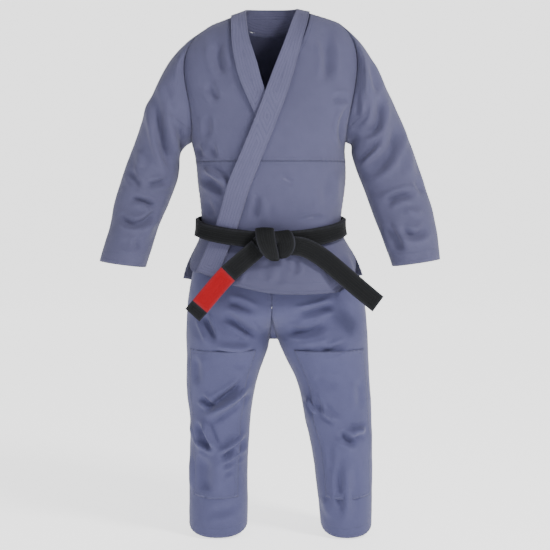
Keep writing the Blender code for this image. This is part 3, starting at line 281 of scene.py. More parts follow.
# No seam holds the part of an outline that lies below the height of the free edge. HELD: there is none.
HELD = -9.0
PANELS = {
    # node: core, levels of subdivision, creased sides, flat cut, height of the free edge, kind of cloth
    "jacket_back": ("torso", 2, BOTH_SIDES, (0.47, 0.69), -0.600, "pearl"),
    "jacket_front_under_upper": ("torso", 3, BOTH_SIDES, (0.18, 0.37), HELD, "pearl"),
    "jacket_front_under_lower": ("torso", 3, BOTH_SIDES, (0.31, 0.32), -0.600, "pearl"),
    "jacket_front_over_upper": ("torso", 3, BOTH_SIDES, (0.20, 0.37), HELD, "pearl"),
    "jacket_front_over_lower": ("torso", 3, BOTH_SIDES, (0.36, 0.32), -0.600, "pearl"),
    "sleeve_right": ("right_arm", 3, BOTH_SIDES, (0.43, 0.50), -0.560, "pearl"),
    "sleeve_left": ("left_arm", 3, BOTH_SIDES, (0.44, 0.50), -0.545, "pearl"),
    "lapel_collar": ("torso", 3, PLAIN, (0.050, 1.78), HELD, "band"),
    "trouser_leg_right": ("right_leg", 3, BOTH_SIDES, (0.56, 0.78), -1.190, "drill"),
    "trouser_leg_left": ("left_leg", 3, BOTH_SIDES, (0.56, 0.78), -1.190, "drill"),
    "knee_patch_right": ("right_leg", 3, FRONT_ONLY, (0.17, 0.38), HELD, "drill"),
    "knee_patch_left": ("left_leg", 3, FRONT_ONLY, (0.17, 0.38), HELD, "drill"),
    "crotch_gusset": ("gusset", 1, PLAIN, (0.014, 0.18), HELD, "drill"),
    "trouser_waistband": ("torso", 1, PLAIN, (0.04, 0.90), HELD, "drill"),
    "belt_turn_inner": ("torso", 2, PLAIN, (0.046, 0.96), HELD, "belt"),
    "belt_turn_outer": ("torso", 2, PLAIN, (0.046, 0.98), HELD, "belt"),
    "belt_tail_bar": ("strap", 3, PLAIN, (0.046, 0.100), HELD, "belt"),
    "belt_bar": ("strap", 3, PLAIN, (0.046, 0.108), HELD, "bar"),
    "belt_tip": ("strap", 3, PLAIN, (0.046, 0.033), HELD, "belt"),
    "belt_tail_plain": ("strap", 3, PLAIN, (0.046, 0.27), HELD, "belt"),
}

# Heights in metres of the weave and of the rows of stitches in each kind of cloth
WEAVE_HEIGHT = {"pearl": 0.0007, "band": 0.00018, "drill": 0.00012, "belt": 0.00015, "bar": 0.00015}
STITCH_HEIGHT = {"pearl": 0.0010, "band": 0.0011, "drill": 0.0009, "belt": 0.0010, "bar": 0.0008}
# Distances of the rows of stitches from a piece's edge, and from its free edge
ROWS = {
    "pearl": (0.0025, 0.0085),
    "band": (0.0040, 0.0105, 0.0170, 0.0235),
    "drill": (0.0025, 0.0080),
    "belt": (0.0030, 0.0083, 0.0136, 0.0189),
    "bar": (0.0030, 0.0083, 0.0136, 0.0189),
}
HEM_ROWS = {"pearl": (0.0290,), "band": (), "drill": (0.0240,), "belt": (), "bar": ()}
# Dye: scales and shares of the broad, cloudy and flecked noise, share of the weave, and the least tone
BROAD_SCALE, CLOUD_SCALE, FLECK_SCALE = 5.5, 38.0, 420.0
BROAD_SHARE, CLOUD_SHARE, FLECK_SHARE, GRAIN_SHARE, LEAST_TONE = 0.22, 0.14, 0.20, 0.16, 0.64
# Pale wear along an edge, and a dark line of painted shade in a seam's crevice: how fast each fades, and its
# colour
WEAR_FALL, WEAR_COLOUR, WEAR_PALENESS = -420.0, (0.55, 0.56, 0.62, 1.0), 0.12
SEAM_SHADE_FALL, SEAM_SHADE_COLOUR, SEAM_SHADE_SHARE = -700.0, (0.02, 0.02, 0.04, 1.0), 0.55
NATURAL_BASE = 2.718
THREAD_SHARE = 0.55
BELT_WEAR, CLOTH_WEAR = 0.5, 0.3
ROUGH_LEAST, ROUGH_SPREAD = 0.80, 0.12
BELT_THREAD, BAR_THREAD = (0.014, 0.015, 0.017, 1.0), (0.240, 0.002, 0.006, 1.0)

# Stage, in metres
BACKDROP_REACH, BACKDROP_START, BACKDROP_RISE = 16.0, 6.0, 0.12
LIT_POINT = (0.0, 0.0, -0.6)
KEY_PLACE, KEY_SIZE, KEY_COLOUR = (2.5, -2.2, 2.3), (0.9, 0.9), (1.0, 0.99, 0.97)
FILL_PLACE, FILL_SIZE, FILL_COLOUR = (-3.0, -2.4, 0.2), (2.0, 2.4), (0.94, 0.97, 1.0)
CAMERA_PLACE, CAMERA_AIM, SENSOR_WIDTH = (0.01, -3.4, -0.40), (0.01, 0.0, -0.6125), 36.0
WHITE = (1.0, 1.0, 1.0, 1.0)


def colour_setting(name, description, value):
    """A property that holds a colour."""
    return FloatVectorProperty(
        name=name, description=description, subtype="COLOR", size=4, default=value, min=0.0, max=1.0)


class GiClothSettings(bpy.types.PropertyGroup):
    """Sizes and colours of the cloth."""
    jacket_colour: colour_setting("Jacket", "Colour of the pearl weave", (0.086, 0.086, 0.158, 1.0))
    band_colour: colour_setting("Lapel", "Colour of the lapel's twill", (0.100, 0.099, 0.176, 1.0))
    trouser_colour: colour_setting("Trousers", "Colour of the drill cotton", (0.070, 0.072, 0.150, 1.0))
    thread_colour: colour_setting("Thread", "Colour of the seam stitching", (0.075, 0.078, 0.150, 1.0))
    crease_strength: FloatProperty(
        name="Creases", description="How deep the creases are, as a share of their listed depth",
        default=1.6, min=0.0, max=3.0)
    seam_hold: FloatProperty(
        name="Seam hold", description="Width beside a seam in which creases fade out",
        default=0.024, min=0.002, max=0.06, unit="LENGTH")
    pucker: FloatProperty(
        name="Pucker", description="Height of the small puckers along a stitched edge",
        default=0.0005, min=0.0, max=0.003, unit="LENGTH")


class GiBeltSettings(bpy.types.PropertyGroup):
    """Sizes and colours of the belt."""
    belt_colour: colour_setting("Belt", "Colour of the belt's cotton", (0.0042, 0.0047, 0.0056, 1.0))
    bar_colour: colour_setting("Bar", "Colour of the rank bar", (0.270, 0.0, 0.004, 1.0))
    strap_wall: FloatProperty(
        name="Strap", description="Thickness of the knot's straps",
        default=0.0042, min=0.001, max=0.01, unit="LENGTH")
    strap_steps: IntProperty(
        name="Steps", description="Faces along each strap of the knot", default=40, min=8, max=120)


class GiStageSettings(bpy.types.PropertyGroup):
    """Floor, light and camera."""
    floor_colour: colour_setting("Floor", "Colour of the floor", (0.92, 0.92, 0.92, 1.0))
    floor_drop: FloatProperty(
        name="Floor drop", description="How far the floor lies below the lowest hem",
        default=0.004, min=0.0, max=0.5, unit="LENGTH")
    floor_glow: FloatProperty(
        name="Floor glow", description="How far the floor is lifted towards white",
        default=1.60, min=0.0, max=5.0)
    key_power: FloatProperty(
        name="Key light", description="Power of the main light",
        default=150.0, min=0.0, max=1000.0, unit="POWER")
    fill_power: FloatProperty(
        name="Fill light", description="Power of the weaker light",
        default=8.0, min=0.0, max=1000.0, unit="POWER")
    sky: FloatProperty(
        name="Surround", description="Strength of the pale surround", default=0.50, min=0.0, max=5.0)
    lens: FloatProperty(
        name="Lens", description="Focal length in millimetres", default=89.0, min=20.0, max=300.0)


# Points and curves

def smooth(values, low, high):
    """0 up to low, 1 from high, and an even change between them."""
    share = np.clip((values - low) / (high - low), 0.0, 1.0)
    return share * share * (3.0 - 2.0 * share)


def coordinates(mesh):
    """The mesh's points as an array."""
    flat = np.empty(len(mesh.vertices) * 3)
    mesh.vertices.foreach_get("co", flat)
    return flat.reshape(-1, 3)


def nearest_on_line(points, line):
    """For each point: its nearest point on a line of points, how far along that lies, and how far off."""
    line = np.asarray(line, dtype=float)
    best = np.full(len(points), np.inf)
    spot = np.zeros_like(points)
    way = np.zeros(len(points))
    gone = 0.0
    for start, end in zip(line[:-1], line[1:]):
        run = end - start
        length = np.linalg.norm(run)
        share = np.clip(((points - start) @ run) / (length * length), 0.0, 1.0)
        place = start + share[:, None] * run
        away = np.linalg.norm(points - place, axis=1)
        closer = away < best
        best[closer] = away[closer]
        spot[closer] = place[closer]
        way[closer] = gone + share[closer] * length
        gone += length
    return spot, way, best


def bend(start, middle, end, steps=10):
    """Points on a curve from start to end, pulled towards middle."""
    shares = np.linspace(0.0, 1.0, steps + 1)[:, None]
    start, middle, end = (np.asarray(spot, dtype=float) for spot in (start, middle, end))
    return start * (1 - shares) ** 2 + middle * 2 * shares * (1 - shares) + end * shares ** 2


def core_of(points, core):
    """The middle of the cloth's tube beside each point, and the distance along that middle."""
    if core in ("torso", "strap", "gusset"):
        spot = np.zeros_like(points)
        spot[:, 0] = np.clip(points[:, 0], -TORSO_CORE, TORSO_CORE)
        spot[:, 2] = np.minimum(points[:, 2], TORSO_ARCH)
        if core != "torso":
            spot[:, 0] = points[:, 0]
            spot[:, 2] = points[:, 2]
        return spot, points[:, 2]
    line = {"right_arm": RIGHT_ARM_LINE, "left_arm": LEFT_ARM_LINE,
            "right_leg": RIGHT_LEG_LINE, "left_leg": LEFT_LEG_LINE}[core]
    spot, way, _ = nearest_on_line(points, line)
    return spot, way


def outward(points, core):
    """Unit directions away from the middle of the cloth's tube."""
    spot, _ = core_of(points, core)
    away = points - spot
    return away / np.maximum(np.linalg.norm(away, axis=1), 1e-6)[:, None]


def crease_push(points, creases, strength):
    """How far the creases push each point outwards."""
    flat = points[:, [0, 2]]
    push = np.zeros(len(points))
    for start_x, start_z, middle_x, middle_z, end_x, end_z, depth, width, lean in creases:
        curve = bend((start_x, start_z), (middle_x, middle_z), (end_x, end_z))
        width = CREASE_SHARPNESS * width
        reach = CREASE_REACH * width
        low, high = curve.min(axis=0) - reach, curve.max(axis=0) + reach
        near = np.all((flat > low) & (flat < high), axis=1)
        if not near.any():
            continue
        here = flat[near]
        spot, way, away = nearest_on_line(here, curve)
        length = np.linalg.norm(np.diff(curve, axis=0), axis=1).sum()
        share = way / length
        taper = smooth(share, 0.0, CREASE_TAPER) * smooth(1.0 - share, 0.0, CREASE_TAPER)
        run = curve[-1] - curve[0]
        side = np.sign((here - spot) @ np.array([-run[1], run[0]]))
        profile = np.exp(-(away / width) ** 2)
        beside = (away - SHOULDER_PLACE * width) / (SHOULDER_WIDTH * width)
        shoulder = SHOULDER_HEIGHT * np.exp(-beside ** 2)
        push[near] += strength * depth * taper * (profile * (1.0 + lean * side * away / width) - shoulder)
    return push


def ripple(points):
    """Small uneven waves of worn cloth."""
    x, y, z = points.T
    waves = np.sin(31 * x + 17 * z + 1.3) * np.sin(23 * z - 11 * y + 0.4)
    waves += 0.6 * np.sin(57 * x - 41 * z + 2.0) * np.sin(47 * y + 29 * z)
    waves += 0.35 * np.sin(97 * x + 71 * z) * np.sin(83 * z - 67 * y + 1.0)
    return waves


# Cloth from the CAD nodes

def merged_copy(node):
    """A bmesh of a CAD node with its points merged and its pairs of triangles joined."""
    bm = bmesh.new()
    bm.from_mesh(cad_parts[node].data)
    bmesh.ops.remove_doubles(bm, verts=bm.verts[:], dist=MERGE_DISTANCE)
    bmesh.ops.recalc_face_normals(bm, faces=bm.faces[:])
    bmesh.ops.join_triangles(
        bm, faces=bm.faces[:], angle_face_threshold=math.radians(JOIN_FACE_ANGLE),
        angle_shape_threshold=math.radians(JOIN_SHAPE_ANGLE))
    return bm


def rim_loops(bm):
    """The sharp edges of a cloth wall, as runs of points with the distance gone along each."""
    least = math.radians(RIM_ANGLE)
    sharp = {edge for edge in bm.edges if len(edge.link_faces) == 2 and edge.calc_face_angle(0.0) > least}
    left = set(sharp)
    runs = []
    while left:
        edge = left.pop()
        run = [edge.verts[0], edge.verts[1]]
        while True:
            onward = [other for other in run[-1].link_edges if other in left]
            if not onward:
                break
            back = (run[-2].co - run[-1].co).normalized()
            ways = [(other.other_vert(run[-1]).co - run[-1].co).normalized() for other in onward]
            best = onward[min(range(len(onward)), key=lambda index: back.dot(ways[index]))]
            left.discard(best)
            run.append(best.other_vert(run[-1]))
        runs.append([vert.co.copy() for vert in run])
    return sharp, runs


def edge_points(runs):
    """Points close together on the runs: places and distances gone."""
    places, gone = [], []
    for run in runs:
        way = 0.0
        for start, end in zip(run, run[1:]):
            length = (end - start).length
            steps = max(int(length / RIM_SPACING), 1)
            for step in range(steps):
                places.append(start.lerp(end, step / steps))
                gone.append(way + length * step / steps)
            way += length
    return places, gone


def tree_of(places):
    """A search tree of places."""
    tree = KDTree(len(places))
    for index, place in enumerate(places):
        tree.insert(place, index)
    tree.balance()
    return tree


def edge_distance(points, runs):
    """Each point's distance to the piece's outline, and where along the outline that is."""
    places, gone = edge_points(runs)
    tree = tree_of(places)
    away = np.empty(len(points))
    along = np.empty(len(points))
    for index, point in enumerate(points):
        _, hit, distance = tree.find(point)
        away[index] = distance
        along[index] = gone[hit]
    return away, along


def free_distance(points, runs, height):
    """Each point's distance to the free edge, capped where it is far away."""
    places = [place for place in edge_points(runs)[0] if place.z < height]
    if not places:
        return np.full(len(points), FREE_FAR)
    tree = tree_of(places)
    away = np.full(len(points), FREE_FAR)
    for index, point in enumerate(points):
        if point[2] < height + FREE_REACH:
            away[index] = min(tree.find(point)[2], FREE_FAR)
    return away


def subdivided(bm, name, levels):
    """A new object from the bmesh, made finer with its sharp edges kept."""
    crease = bm.edges.layers.float.get("crease_edge") or bm.edges.layers.float.new("crease_edge")
    sharp, runs = rim_loops(bm)
    for edge in sharp:
        edge[crease] = 1.0
    coarse = bpy.data.meshes.new(name + "_coarse")
    bm.to_mesh(coarse)
    bm.free()
    made = bpy.data.objects.new(name, coarse)
    bpy.context.scene.collection.objects.link(made)
    finer = made.modifiers.new("Finer", "SUBSURF")
    finer.levels = levels
    finer.render_levels = levels
    finer.uv_smooth = "NONE"
    shape = made.evaluated_get(bpy.context.evaluated_depsgraph_get())
    mesh = bpy.data.meshes.new_from_object(shape)
    made.modifiers.clear()
    made.data = mesh
    mesh.name = name
    bpy.data.meshes.remove(coarse)
    return made, runs


def face_corners(mesh):
    """For every corner of every face: its point and its face."""
    point = np.empty(len(mesh.loops), dtype=np.int64)
    mesh.loops.foreach_get("vertex_index", point)
    starts = np.empty(len(mesh.polygons), dtype=np.int64)
    mesh.polygons.foreach_get("loop_start", starts)
    face = np.zeros(len(mesh.loops), dtype=np.int64)
    face[starts] = 1
    return point, np.cumsum(face) - 1


def add_map(mesh, name, across, along, turn=None):
    """A UV map from two values at each point; turn is the value after which across starts again."""
    point, face = face_corners(mesh)
    u, v = across[point], along[point]
    if turn:
        highest = np.full(len(mesh.polygons), -np.inf)
        np.maximum.at(highest, face, u)
        u = np.where(highest[face] - u > turn / 2, u + turn, u)
    layer = mesh.uv_layers.new(name=name)
    layer.data.foreach_set("uv", np.column_stack((u, v)).ravel())


def add_value(mesh, name, values):
    """A named value at each point."""
    layer = mesh.attributes.new(name, "FLOAT", "POINT")
    layer.data.foreach_set("value", values)


def weave_map(mesh, points, core):
    """Lay the weave's map round the cloth's tube, in metres."""
    if core in ("strap", "gusset"):
        add_map(mesh, "weave", points[:, 0], points[:, 2])
        return
    spot, way = core_of(points, core)
    away = points - spot
    radius = TORSO_RADIUS if core == "torso" else LIMB_RADIUS
    angle = np.arctan2(away[:, 0], -away[:, 1])
    if core.startswith("right"):
        angle = np.arctan2(-away[:, 0], -away[:, 1])
    across = angle * radius
    if core == "torso":
        across += spot[:, 0]
        add_map(mesh, "weave", across, points[:, 2])
        return
    add_map(mesh, "weave", across, way, turn=2 * math.pi * radius)


def soft_piece(node, material):
    """The cloth that stands for one CAD node."""
    core, levels, sides, flat, free_height, kind = PANELS[node]
    made, runs = subdivided(merged_copy(node), node + "_cloth", levels)
    mesh = made.data
    points = coordinates(mesh)
    away, along = edge_distance(points, runs)
    free = free_distance(points, runs, free_height)
    weave_map(mesh, points, core)
    add_map(mesh, "rows", along, away)
    add_value(mesh, "hem", free)
    if core == "gusset":
        close_fork(points)
    elif kind in ("pearl", "drill"):
        shape_cloth(points, away, along, free, core, sides)
    mesh.vertices.foreach_set("co", points.ravel())
    mesh.materials.clear()
    mesh.materials.append(material)
    mesh.shade_smooth()
    mesh.set_sharp_from_angle(angle=math.radians(SHARP_ANGLE))
    mesh.update()
    finish_piece(made, node)


def close_fork(points):
    """Draw the gusset's two ends up behind the legs' centre seam and widen it under their edges."""
    up = smooth(points[:, 2], FORK_LOW, FORK_HIGH)
    middle = points[:, 0].mean() * (1.0 - up) + FORK_SEAM_X * up
    spread = GUSSET_SPREAD + GUSSET_END_SPREAD * up
    points[:, 0] = middle + (points[:, 0] - middle) * spread
    points[:, 1] *= 1.0 - GUSSET_DRAW * up
    points[:, 2] += GUSSET_REACH * up


def crease_tables(core, sides):
    """The creases in front and behind, none on a side that the piece leaves plain."""
    front, behind = CREASES[core]
    return front if sides >= FRONT_ONLY else [], behind if sides == BOTH_SIDES else []


def shape_cloth(points, away, along, free, core, sides):
    """Move the points of a panel by its creases, small waves and puckers."""
    cloth = bpy.context.scene.gi_cloth
    front, behind = crease_tables(core, sides)
    ways = outward(points, core)
    before = smooth(-ways[:, 1], SIDE_LOW, SIDE_HIGH)
    after = smooth(ways[:, 1], SIDE_LOW, SIDE_HIGH)
    push = before * crease_push(points, front, cloth.crease_strength)
    push += after * crease_push(points, behind, cloth.crease_strength)
    push += RIPPLE_HEIGHT * ripple(points)
    seam = np.where(free < away + SEAM_ROOM, 1.0, smooth(away, SEAM_ROOM, SEAM_ROOM + cloth.seam_hold))
    belt = smooth(np.abs(points[:, 2] - BELT_HEIGHT), BELT_LOW, BELT_HIGH) if core == "torso" else 1.0
    push = push * seam * belt
    near_edge = np.exp(-(away / PUCKER_REACH) ** 2)
    push += cloth.pucker * np.sin(along * 2 * math.pi / PUCKER_LENGTH) * near_edge * belt
    points += ways * push[:, None]


def finish_piece(made, node):
    """Hang a piece on the frame's body and hide the CAD node that it stands for."""
    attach(made, BODY)
    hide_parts(node)


# Materials

def math_node(tree, operation, *values):
    """A math node on values, each a number or a socket; its result."""
    node = tree.nodes.new("ShaderNodeMath")
    node.operation = operation
    for socket, value in zip(node.inputs, values):
        if isinstance(value, (int, float)):
            socket.default_value = value
        else:
            tree.links.new(value, socket)
    return node.outputs[0]


def plus(tree, first, second):
    """The sum of two values."""
    return math_node(tree, "ADD", first, second)


def times(tree, first, second):
    """The product of two values."""
    return math_node(tree, "MULTIPLY", first, second)


def wave(tree, value, turn=math.pi):
    """Even bumps from 0 to 1, one for each half turn."""
    return math_node(tree, "ABSOLUTE", math_node(tree, "SINE", times(tree, value, turn)))


def mix_colour(tree, blend, share, first, second):
    """A colour mix node; its result."""
    node = tree.nodes.new("ShaderNodeMix")
    node.data_type = "RGBA"
    node.blend_type = blend
    for socket, value in ((node.inputs[0], share), (node.inputs[6], first), (node.inputs[7], second)):
        if isinstance(value, (int, float, tuple)):
            socket.default_value = value
        else:
            tree.links.new(value, socket)
    return node.outputs[2]


def new_group(name, inputs, outputs):
    """An empty shader node group with these sockets: (name, type, value) and (name, type)."""
    tree = bpy.data.node_groups.new(name, "ShaderNodeTree")
    for label, kind, value in inputs:
        socket = tree.interface.new_socket(name=label, in_out="INPUT", socket_type=kind)
        socket.default_value = value
    for label, kind in outputs:
        tree.interface.new_socket(name=label, in_out="OUTPUT", socket_type=kind)
    entry = tree.nodes.new("NodeGroupInput")
    leave = tree.nodes.new("NodeGroupOutput")
    return tree, entry.outputs, leave.inputs


def grain_group():
    """Rows of small raised grains, as on a pearl weave."""
    tree, given, made = new_group(
        "Woven grain",
        [("Across", "NodeSocketFloat", 0.0), ("Along", "NodeSocketFloat", 0.0),
         ("Grain length", "NodeSocketFloat", 0.004), ("Row height", "NodeSocketFloat", 0.0022)],
        [("Height", "NodeSocketFloat")])
    row = math_node(tree, "DIVIDE", given["Along"], given["Row height"])
    shift = times(tree, math_node(tree, "FLOOR", row), 0.5)
    step = plus(tree, math_node(tree, "DIVIDE", given["Across"], given["Grain length"]), shift)
    across = wave(tree, step)
    along = wave(tree, row)
    height = math_node(tree, "POWER", times(tree, across, along), 0.6)
    tree.links.new(height, made["Height"])
    return tree


def twill_group():
    """Fine slanting ribs, as on drill and twill."""
    tree, given, made = new_group(
        "Twill ribs",
        [("Across", "NodeSocketFloat", 0.0), ("Along", "NodeSocketFloat", 0.0),
         ("Rib", "NodeSocketFloat", 0.0016)],
        [("Height", "NodeSocketFloat")])
    slant = plus(tree, given["Across"], given["Along"])
    rib = wave(tree, math_node(tree, "DIVIDE", slant, given["Rib"]))
    cross = math_node(tree, "SUBTRACT", given["Across"], given["Along"])
    thread = times(tree, wave(tree, math_node(tree, "DIVIDE", cross, given["Rib"]), math.pi * 0.5), 0.35)
    tree.links.new(plus(tree, rib, thread), made["Height"])
    return tree


def stitch_group():
    """One row of stitches at a distance from an edge, lying in its own groove."""
    tree, given, made = new_group(
        "Stitch row",
        [("Distance", "NodeSocketFloat", 0.0), ("Along", "NodeSocketFloat", 0.0),
         ("Place", "NodeSocketFloat", 0.003), ("Groove", "NodeSocketFloat", 0.0016),
         ("Stitch", "NodeSocketFloat", 0.0034)],
        [("Thread", "NodeSocketFloat"), ("Height", "NodeSocketFloat")])
    away = math_node(tree, "ABSOLUTE", math_node(tree, "SUBTRACT", given["Distance"], given["Place"]))
    share = math_node(tree, "DIVIDE", away, given["Groove"])
    line = math_node(tree, "MAXIMUM", math_node(tree, "SUBTRACT", 1.0, share), 0.0)
    turn = math_node(tree, "DIVIDE", given["Along"], given["Stitch"])
    dash = math_node(tree, "POWER", wave(tree, turn), 0.5)
    narrow = math_node(tree, "SUBTRACT", 1.0, times(tree, share, 1.6))
    narrow = math_node(tree, "MAXIMUM", narrow, 0.0)
    thread = times(tree, dash, math_node(tree, "POWER", narrow, 0.5))
    groove = times(tree, line, -1.0)
    tree.links.new(thread, made["Thread"])
    tree.links.new(plus(tree, groove, times(tree, thread, 0.8)), made["Height"])
    return tree


def worn_group():
    """Uneven dye, fibre flecks and paler worn edges over a cloth colour."""
    tree, given, made = new_group(
        "Worn dye",
        [("Colour", "NodeSocketColor", (0.2, 0.2, 0.3, 1.0)), ("Place", "NodeSocketVector", (0.0, 0.0, 0.0)),
         ("Edge", "NodeSocketFloat", 0.1), ("Grain", "NodeSocketFloat", 0.5),
         ("Wear", "NodeSocketFloat", 0.25)],
        [("Colour", "NodeSocketColor"), ("Patch", "NodeSocketFloat")])

    def noise(scale, detail):
        node = tree.nodes.new("ShaderNodeTexNoise")
        node.inputs["Scale"].default_value = scale
        node.inputs["Detail"].default_value = detail
        tree.links.new(given["Place"], node.inputs["Vector"])
        return node.outputs["Fac"]

    broad = noise(BROAD_SCALE, 4.0)
    fleck = noise(FLECK_SCALE, 2.0)
    cloud = noise(CLOUD_SCALE, 3.0)
    tone = plus(tree, times(tree, broad, BROAD_SHARE),
                     times(tree, cloud, CLOUD_SHARE))
    tone = plus(tree, tone, times(tree, fleck, FLECK_SHARE))
    tone = plus(tree, tone, times(tree, given["Grain"], GRAIN_SHARE))
    tone = plus(tree, tone, LEAST_TONE)
    value = tree.nodes.new("ShaderNodeCombineColor")
    for channel in range(3):
        tree.links.new(tone, value.inputs[channel])
    shaded = mix_colour(tree, "MULTIPLY", 1.0, given["Colour"], value.outputs[0])
    rim = math_node(tree, "POWER", NATURAL_BASE, times(tree, given["Edge"], WEAR_FALL))
    rim = times(tree, times(tree, rim, given["Wear"]),
                    plus(tree, times(tree, cloud, 1.2), 0.2))
    pale = mix_colour(tree, "ADD", WEAR_PALENESS, shaded, WEAR_COLOUR)
    tree.links.new(mix_colour(tree, "MIX", rim, shaded, pale), made["Colour"])
    tree.links.new(broad, made["Patch"])
    return tree


def use_group(tree, group, **values):
    """Place a node group; values go to its sockets by name with _ for a space."""
    node = tree.nodes.new("ShaderNodeGroup")
    node.node_tree = group
    for label, value in values.items():
        socket = node.inputs[label.replace("_", " ")]
        if isinstance(value, (int, float)):
            socket.default_value = value
        else:
            tree.links.new(value, socket)
    return node.outputs


def map_values(tree, name):
    """The two values of a UV map."""
    node = tree.nodes.new("ShaderNodeUVMap")
    node.uv_map = name
    split = tree.nodes.new("ShaderNodeSeparateXYZ")
    tree.links.new(node.outputs[0], split.inputs[0])
    return split.outputs["X"], split.outputs["Y"]


def cloth_material(name, colour, thread, kind, groups):
    """A cloth material: weave, rows of stitches at distances from the edge, worn dye and painted shade along
    the seams.
    """
    made = bpy.data.materials.new(name)
    made.use_nodes = True
    tree = made.node_tree
    shader = tree.nodes["Principled BSDF"]
    place = tree.nodes.new("ShaderNodeTexCoord").outputs["Object"]
    across, along = map_values(tree, "weave")
    run, edge = map_values(tree, "rows")
    pattern = groups["grain" if kind == "pearl" else "twill"]
    weave = use_group(tree, pattern, Across=across, Along=along)["Height"]
    hem = tree.nodes.new("ShaderNodeAttribute")
    hem.attribute_name = "hem"
    threads, grooves = None, None
    lines = [(edge, line) for line in ROWS[kind]] + [(hem.outputs["Fac"], line) for line in HEM_ROWS[kind]]
    for distance, line in lines:
        row = use_group(tree, groups["stitch"], Distance=distance, Along=run, Place=line)
        threads = row["Thread"] if threads is None else math_node(tree, "MAXIMUM", threads, row["Thread"])
        grooves = row["Height"] if grooves is None else plus(tree, grooves, row["Height"])
    worn = use_group(tree, groups["worn"], Place=place, Edge=edge, Grain=weave)
    worn_node = next(node for node in tree.nodes if node.type == "GROUP" and node.node_tree == groups["worn"])
    worn_node.inputs["Colour"].default_value = colour
    worn_node.inputs["Wear"].default_value = BELT_WEAR if kind in ("belt", "bar") else CLOTH_WEAR
    base = mix_colour(tree, "MIX", times(tree, threads, THREAD_SHARE), worn["Colour"], thread)
    # Painted shade: the colour darkens towards each edge of a piece, standing in for shade in the seam's
    # crevice.
    seam = math_node(tree, "POWER", NATURAL_BASE, times(tree, edge, SEAM_SHADE_FALL))
    base = mix_colour(tree, "MIX", times(tree, seam, SEAM_SHADE_SHARE), base, SEAM_SHADE_COLOUR)
    tree.links.new(base, shader.inputs["Base Color"])
    rough = plus(tree, times(tree, worn["Patch"], ROUGH_SPREAD), ROUGH_LEAST)
    tree.links.new(rough, shader.inputs["Roughness"])
    shader.inputs["Sheen Weight"].default_value = 0.0 if kind == "belt" else 0.10
    shader.inputs["Sheen Roughness"].default_value = 0.45
    shader.inputs["Specular IOR Level"].default_value = 0.22
    height = plus(tree, times(tree, weave, WEAVE_HEIGHT[kind]),
                       times(tree, grooves, STITCH_HEIGHT[kind]))
    bump = tree.nodes.new("ShaderNodeBump")
    bump.inputs["Strength"].default_value = 0.8
    bump.inputs["Distance"].default_value = 1.0
    tree.links.new(height, bump.inputs["Height"])
    tree.links.new(bump.outputs["Normal"], shader.inputs["Normal"])
    return made


def material_for(kind):
    """The cloth material of a kind, made once."""
    found = bpy.data.materials.get("gi_" + kind)
    if found:
        return found
    if "Woven grain" not in bpy.data.node_groups:
        grain_group()
        twill_group()
        stitch_group()
        worn_group()
    names = {"grain": "Woven grain", "twill": "Twill ribs", "stitch": "Stitch row", "worn": "Worn dye"}
    groups = {key: bpy.data.node_groups[name] for key, name in names.items()}
    cloth = bpy.context.scene.gi_cloth
    belt = bpy.context.scene.gi_belt
    colour = {"pearl": cloth.jacket_colour, "band": cloth.band_colour, "drill": cloth.trouser_colour,
              "belt": belt.belt_colour, "bar": belt.bar_colour}[kind]
    thread = {"belt": BELT_THREAD, "bar": BAR_THREAD}.get(kind, tuple(cloth.thread_colour))
    return cloth_material("gi_" + kind, tuple(colour), thread, kind, groups)


# The knot

def strap(name, path):
    """A flat strap bent along a path of (x, y, z, width, turn)."""
    settings = bpy.context.scene.gi_belt
    steps = settings.strap_steps
    bm = bmesh.new()
    bmesh.ops.create_grid(bm, x_segments=STRAP_WIDTH_STEPS, y_segments=steps, size=0.5)
    level = abs(path[-1][0] - path[0][0]) > abs(path[-1][2] - path[0][2])
    rows = np.array(path)
    keys = np.arange(len(rows))
    along = np.linspace(0.0, len(rows) - 1, STRAP_FINE_STEPS * steps + 1)
    fine = np.column_stack([smooth_curve(keys, rows[:, column], along) for column in range(5)])
    slopes = np.gradient(fine[:, :3], axis=0)
    gone = np.concatenate(([0.0], np.cumsum(np.linalg.norm(np.diff(fine[:, :3], axis=0), axis=1))))
    across_of, along_of = {}, {}
    for vert in bm.verts:
        side, row = vert.co.x, round((vert.co.y + 0.5) * steps) * STRAP_FINE_STEPS
        x, y, z, width, turn = fine[row]
        ahead = Vector(slopes[row]).normalized()
        flat, side_y = math.cos(math.radians(turn)), math.sin(math.radians(turn))
        over = Vector((0.0, side_y, flat)) if level else Vector((flat, side_y, 0.0))
        over = (over - ahead * over.dot(ahead)).normalized()
        out = over.cross(ahead)
        if out.y > 0:
            out = -out
        crown = STRAP_CROWN * (1.0 - (2.0 * side) ** 2)
        vert.co = Vector((x, y, z)) + over * side * width + out * crown
        across_of[vert.index] = 0.5 * width - abs(side) * width
        along_of[vert.index] = gone[row]
    bmesh.ops.recalc_face_normals(bm, faces=bm.faces[:])
    mesh = bpy.data.meshes.new(name)
    bm.to_mesh(mesh)
    bm.free()
    count = len(mesh.vertices)
    across = np.array([across_of[index] for index in range(count)])
    length = np.array([along_of[index] for index in range(count)])
    add_map(mesh, "weave", across, length)
    add_map(mesh, "rows", length, across)
    add_value(mesh, "hem", np.full(count, FREE_FAR))
    made = bpy.data.objects.new(name, mesh)
    bpy.context.scene.collection.objects.link(made)
    wall = made.modifiers.new("Thickness", "SOLIDIFY")
    wall.thickness = settings.strap_wall
    wall.offset = 0.0
    rounder = made.modifiers.new("Finer", "SUBSURF")
    rounder.levels = 1
    rounder.render_levels = 1
    mesh.shade_smooth()
    mesh.materials.append(material_for("belt"))
    return made, gone[-1]


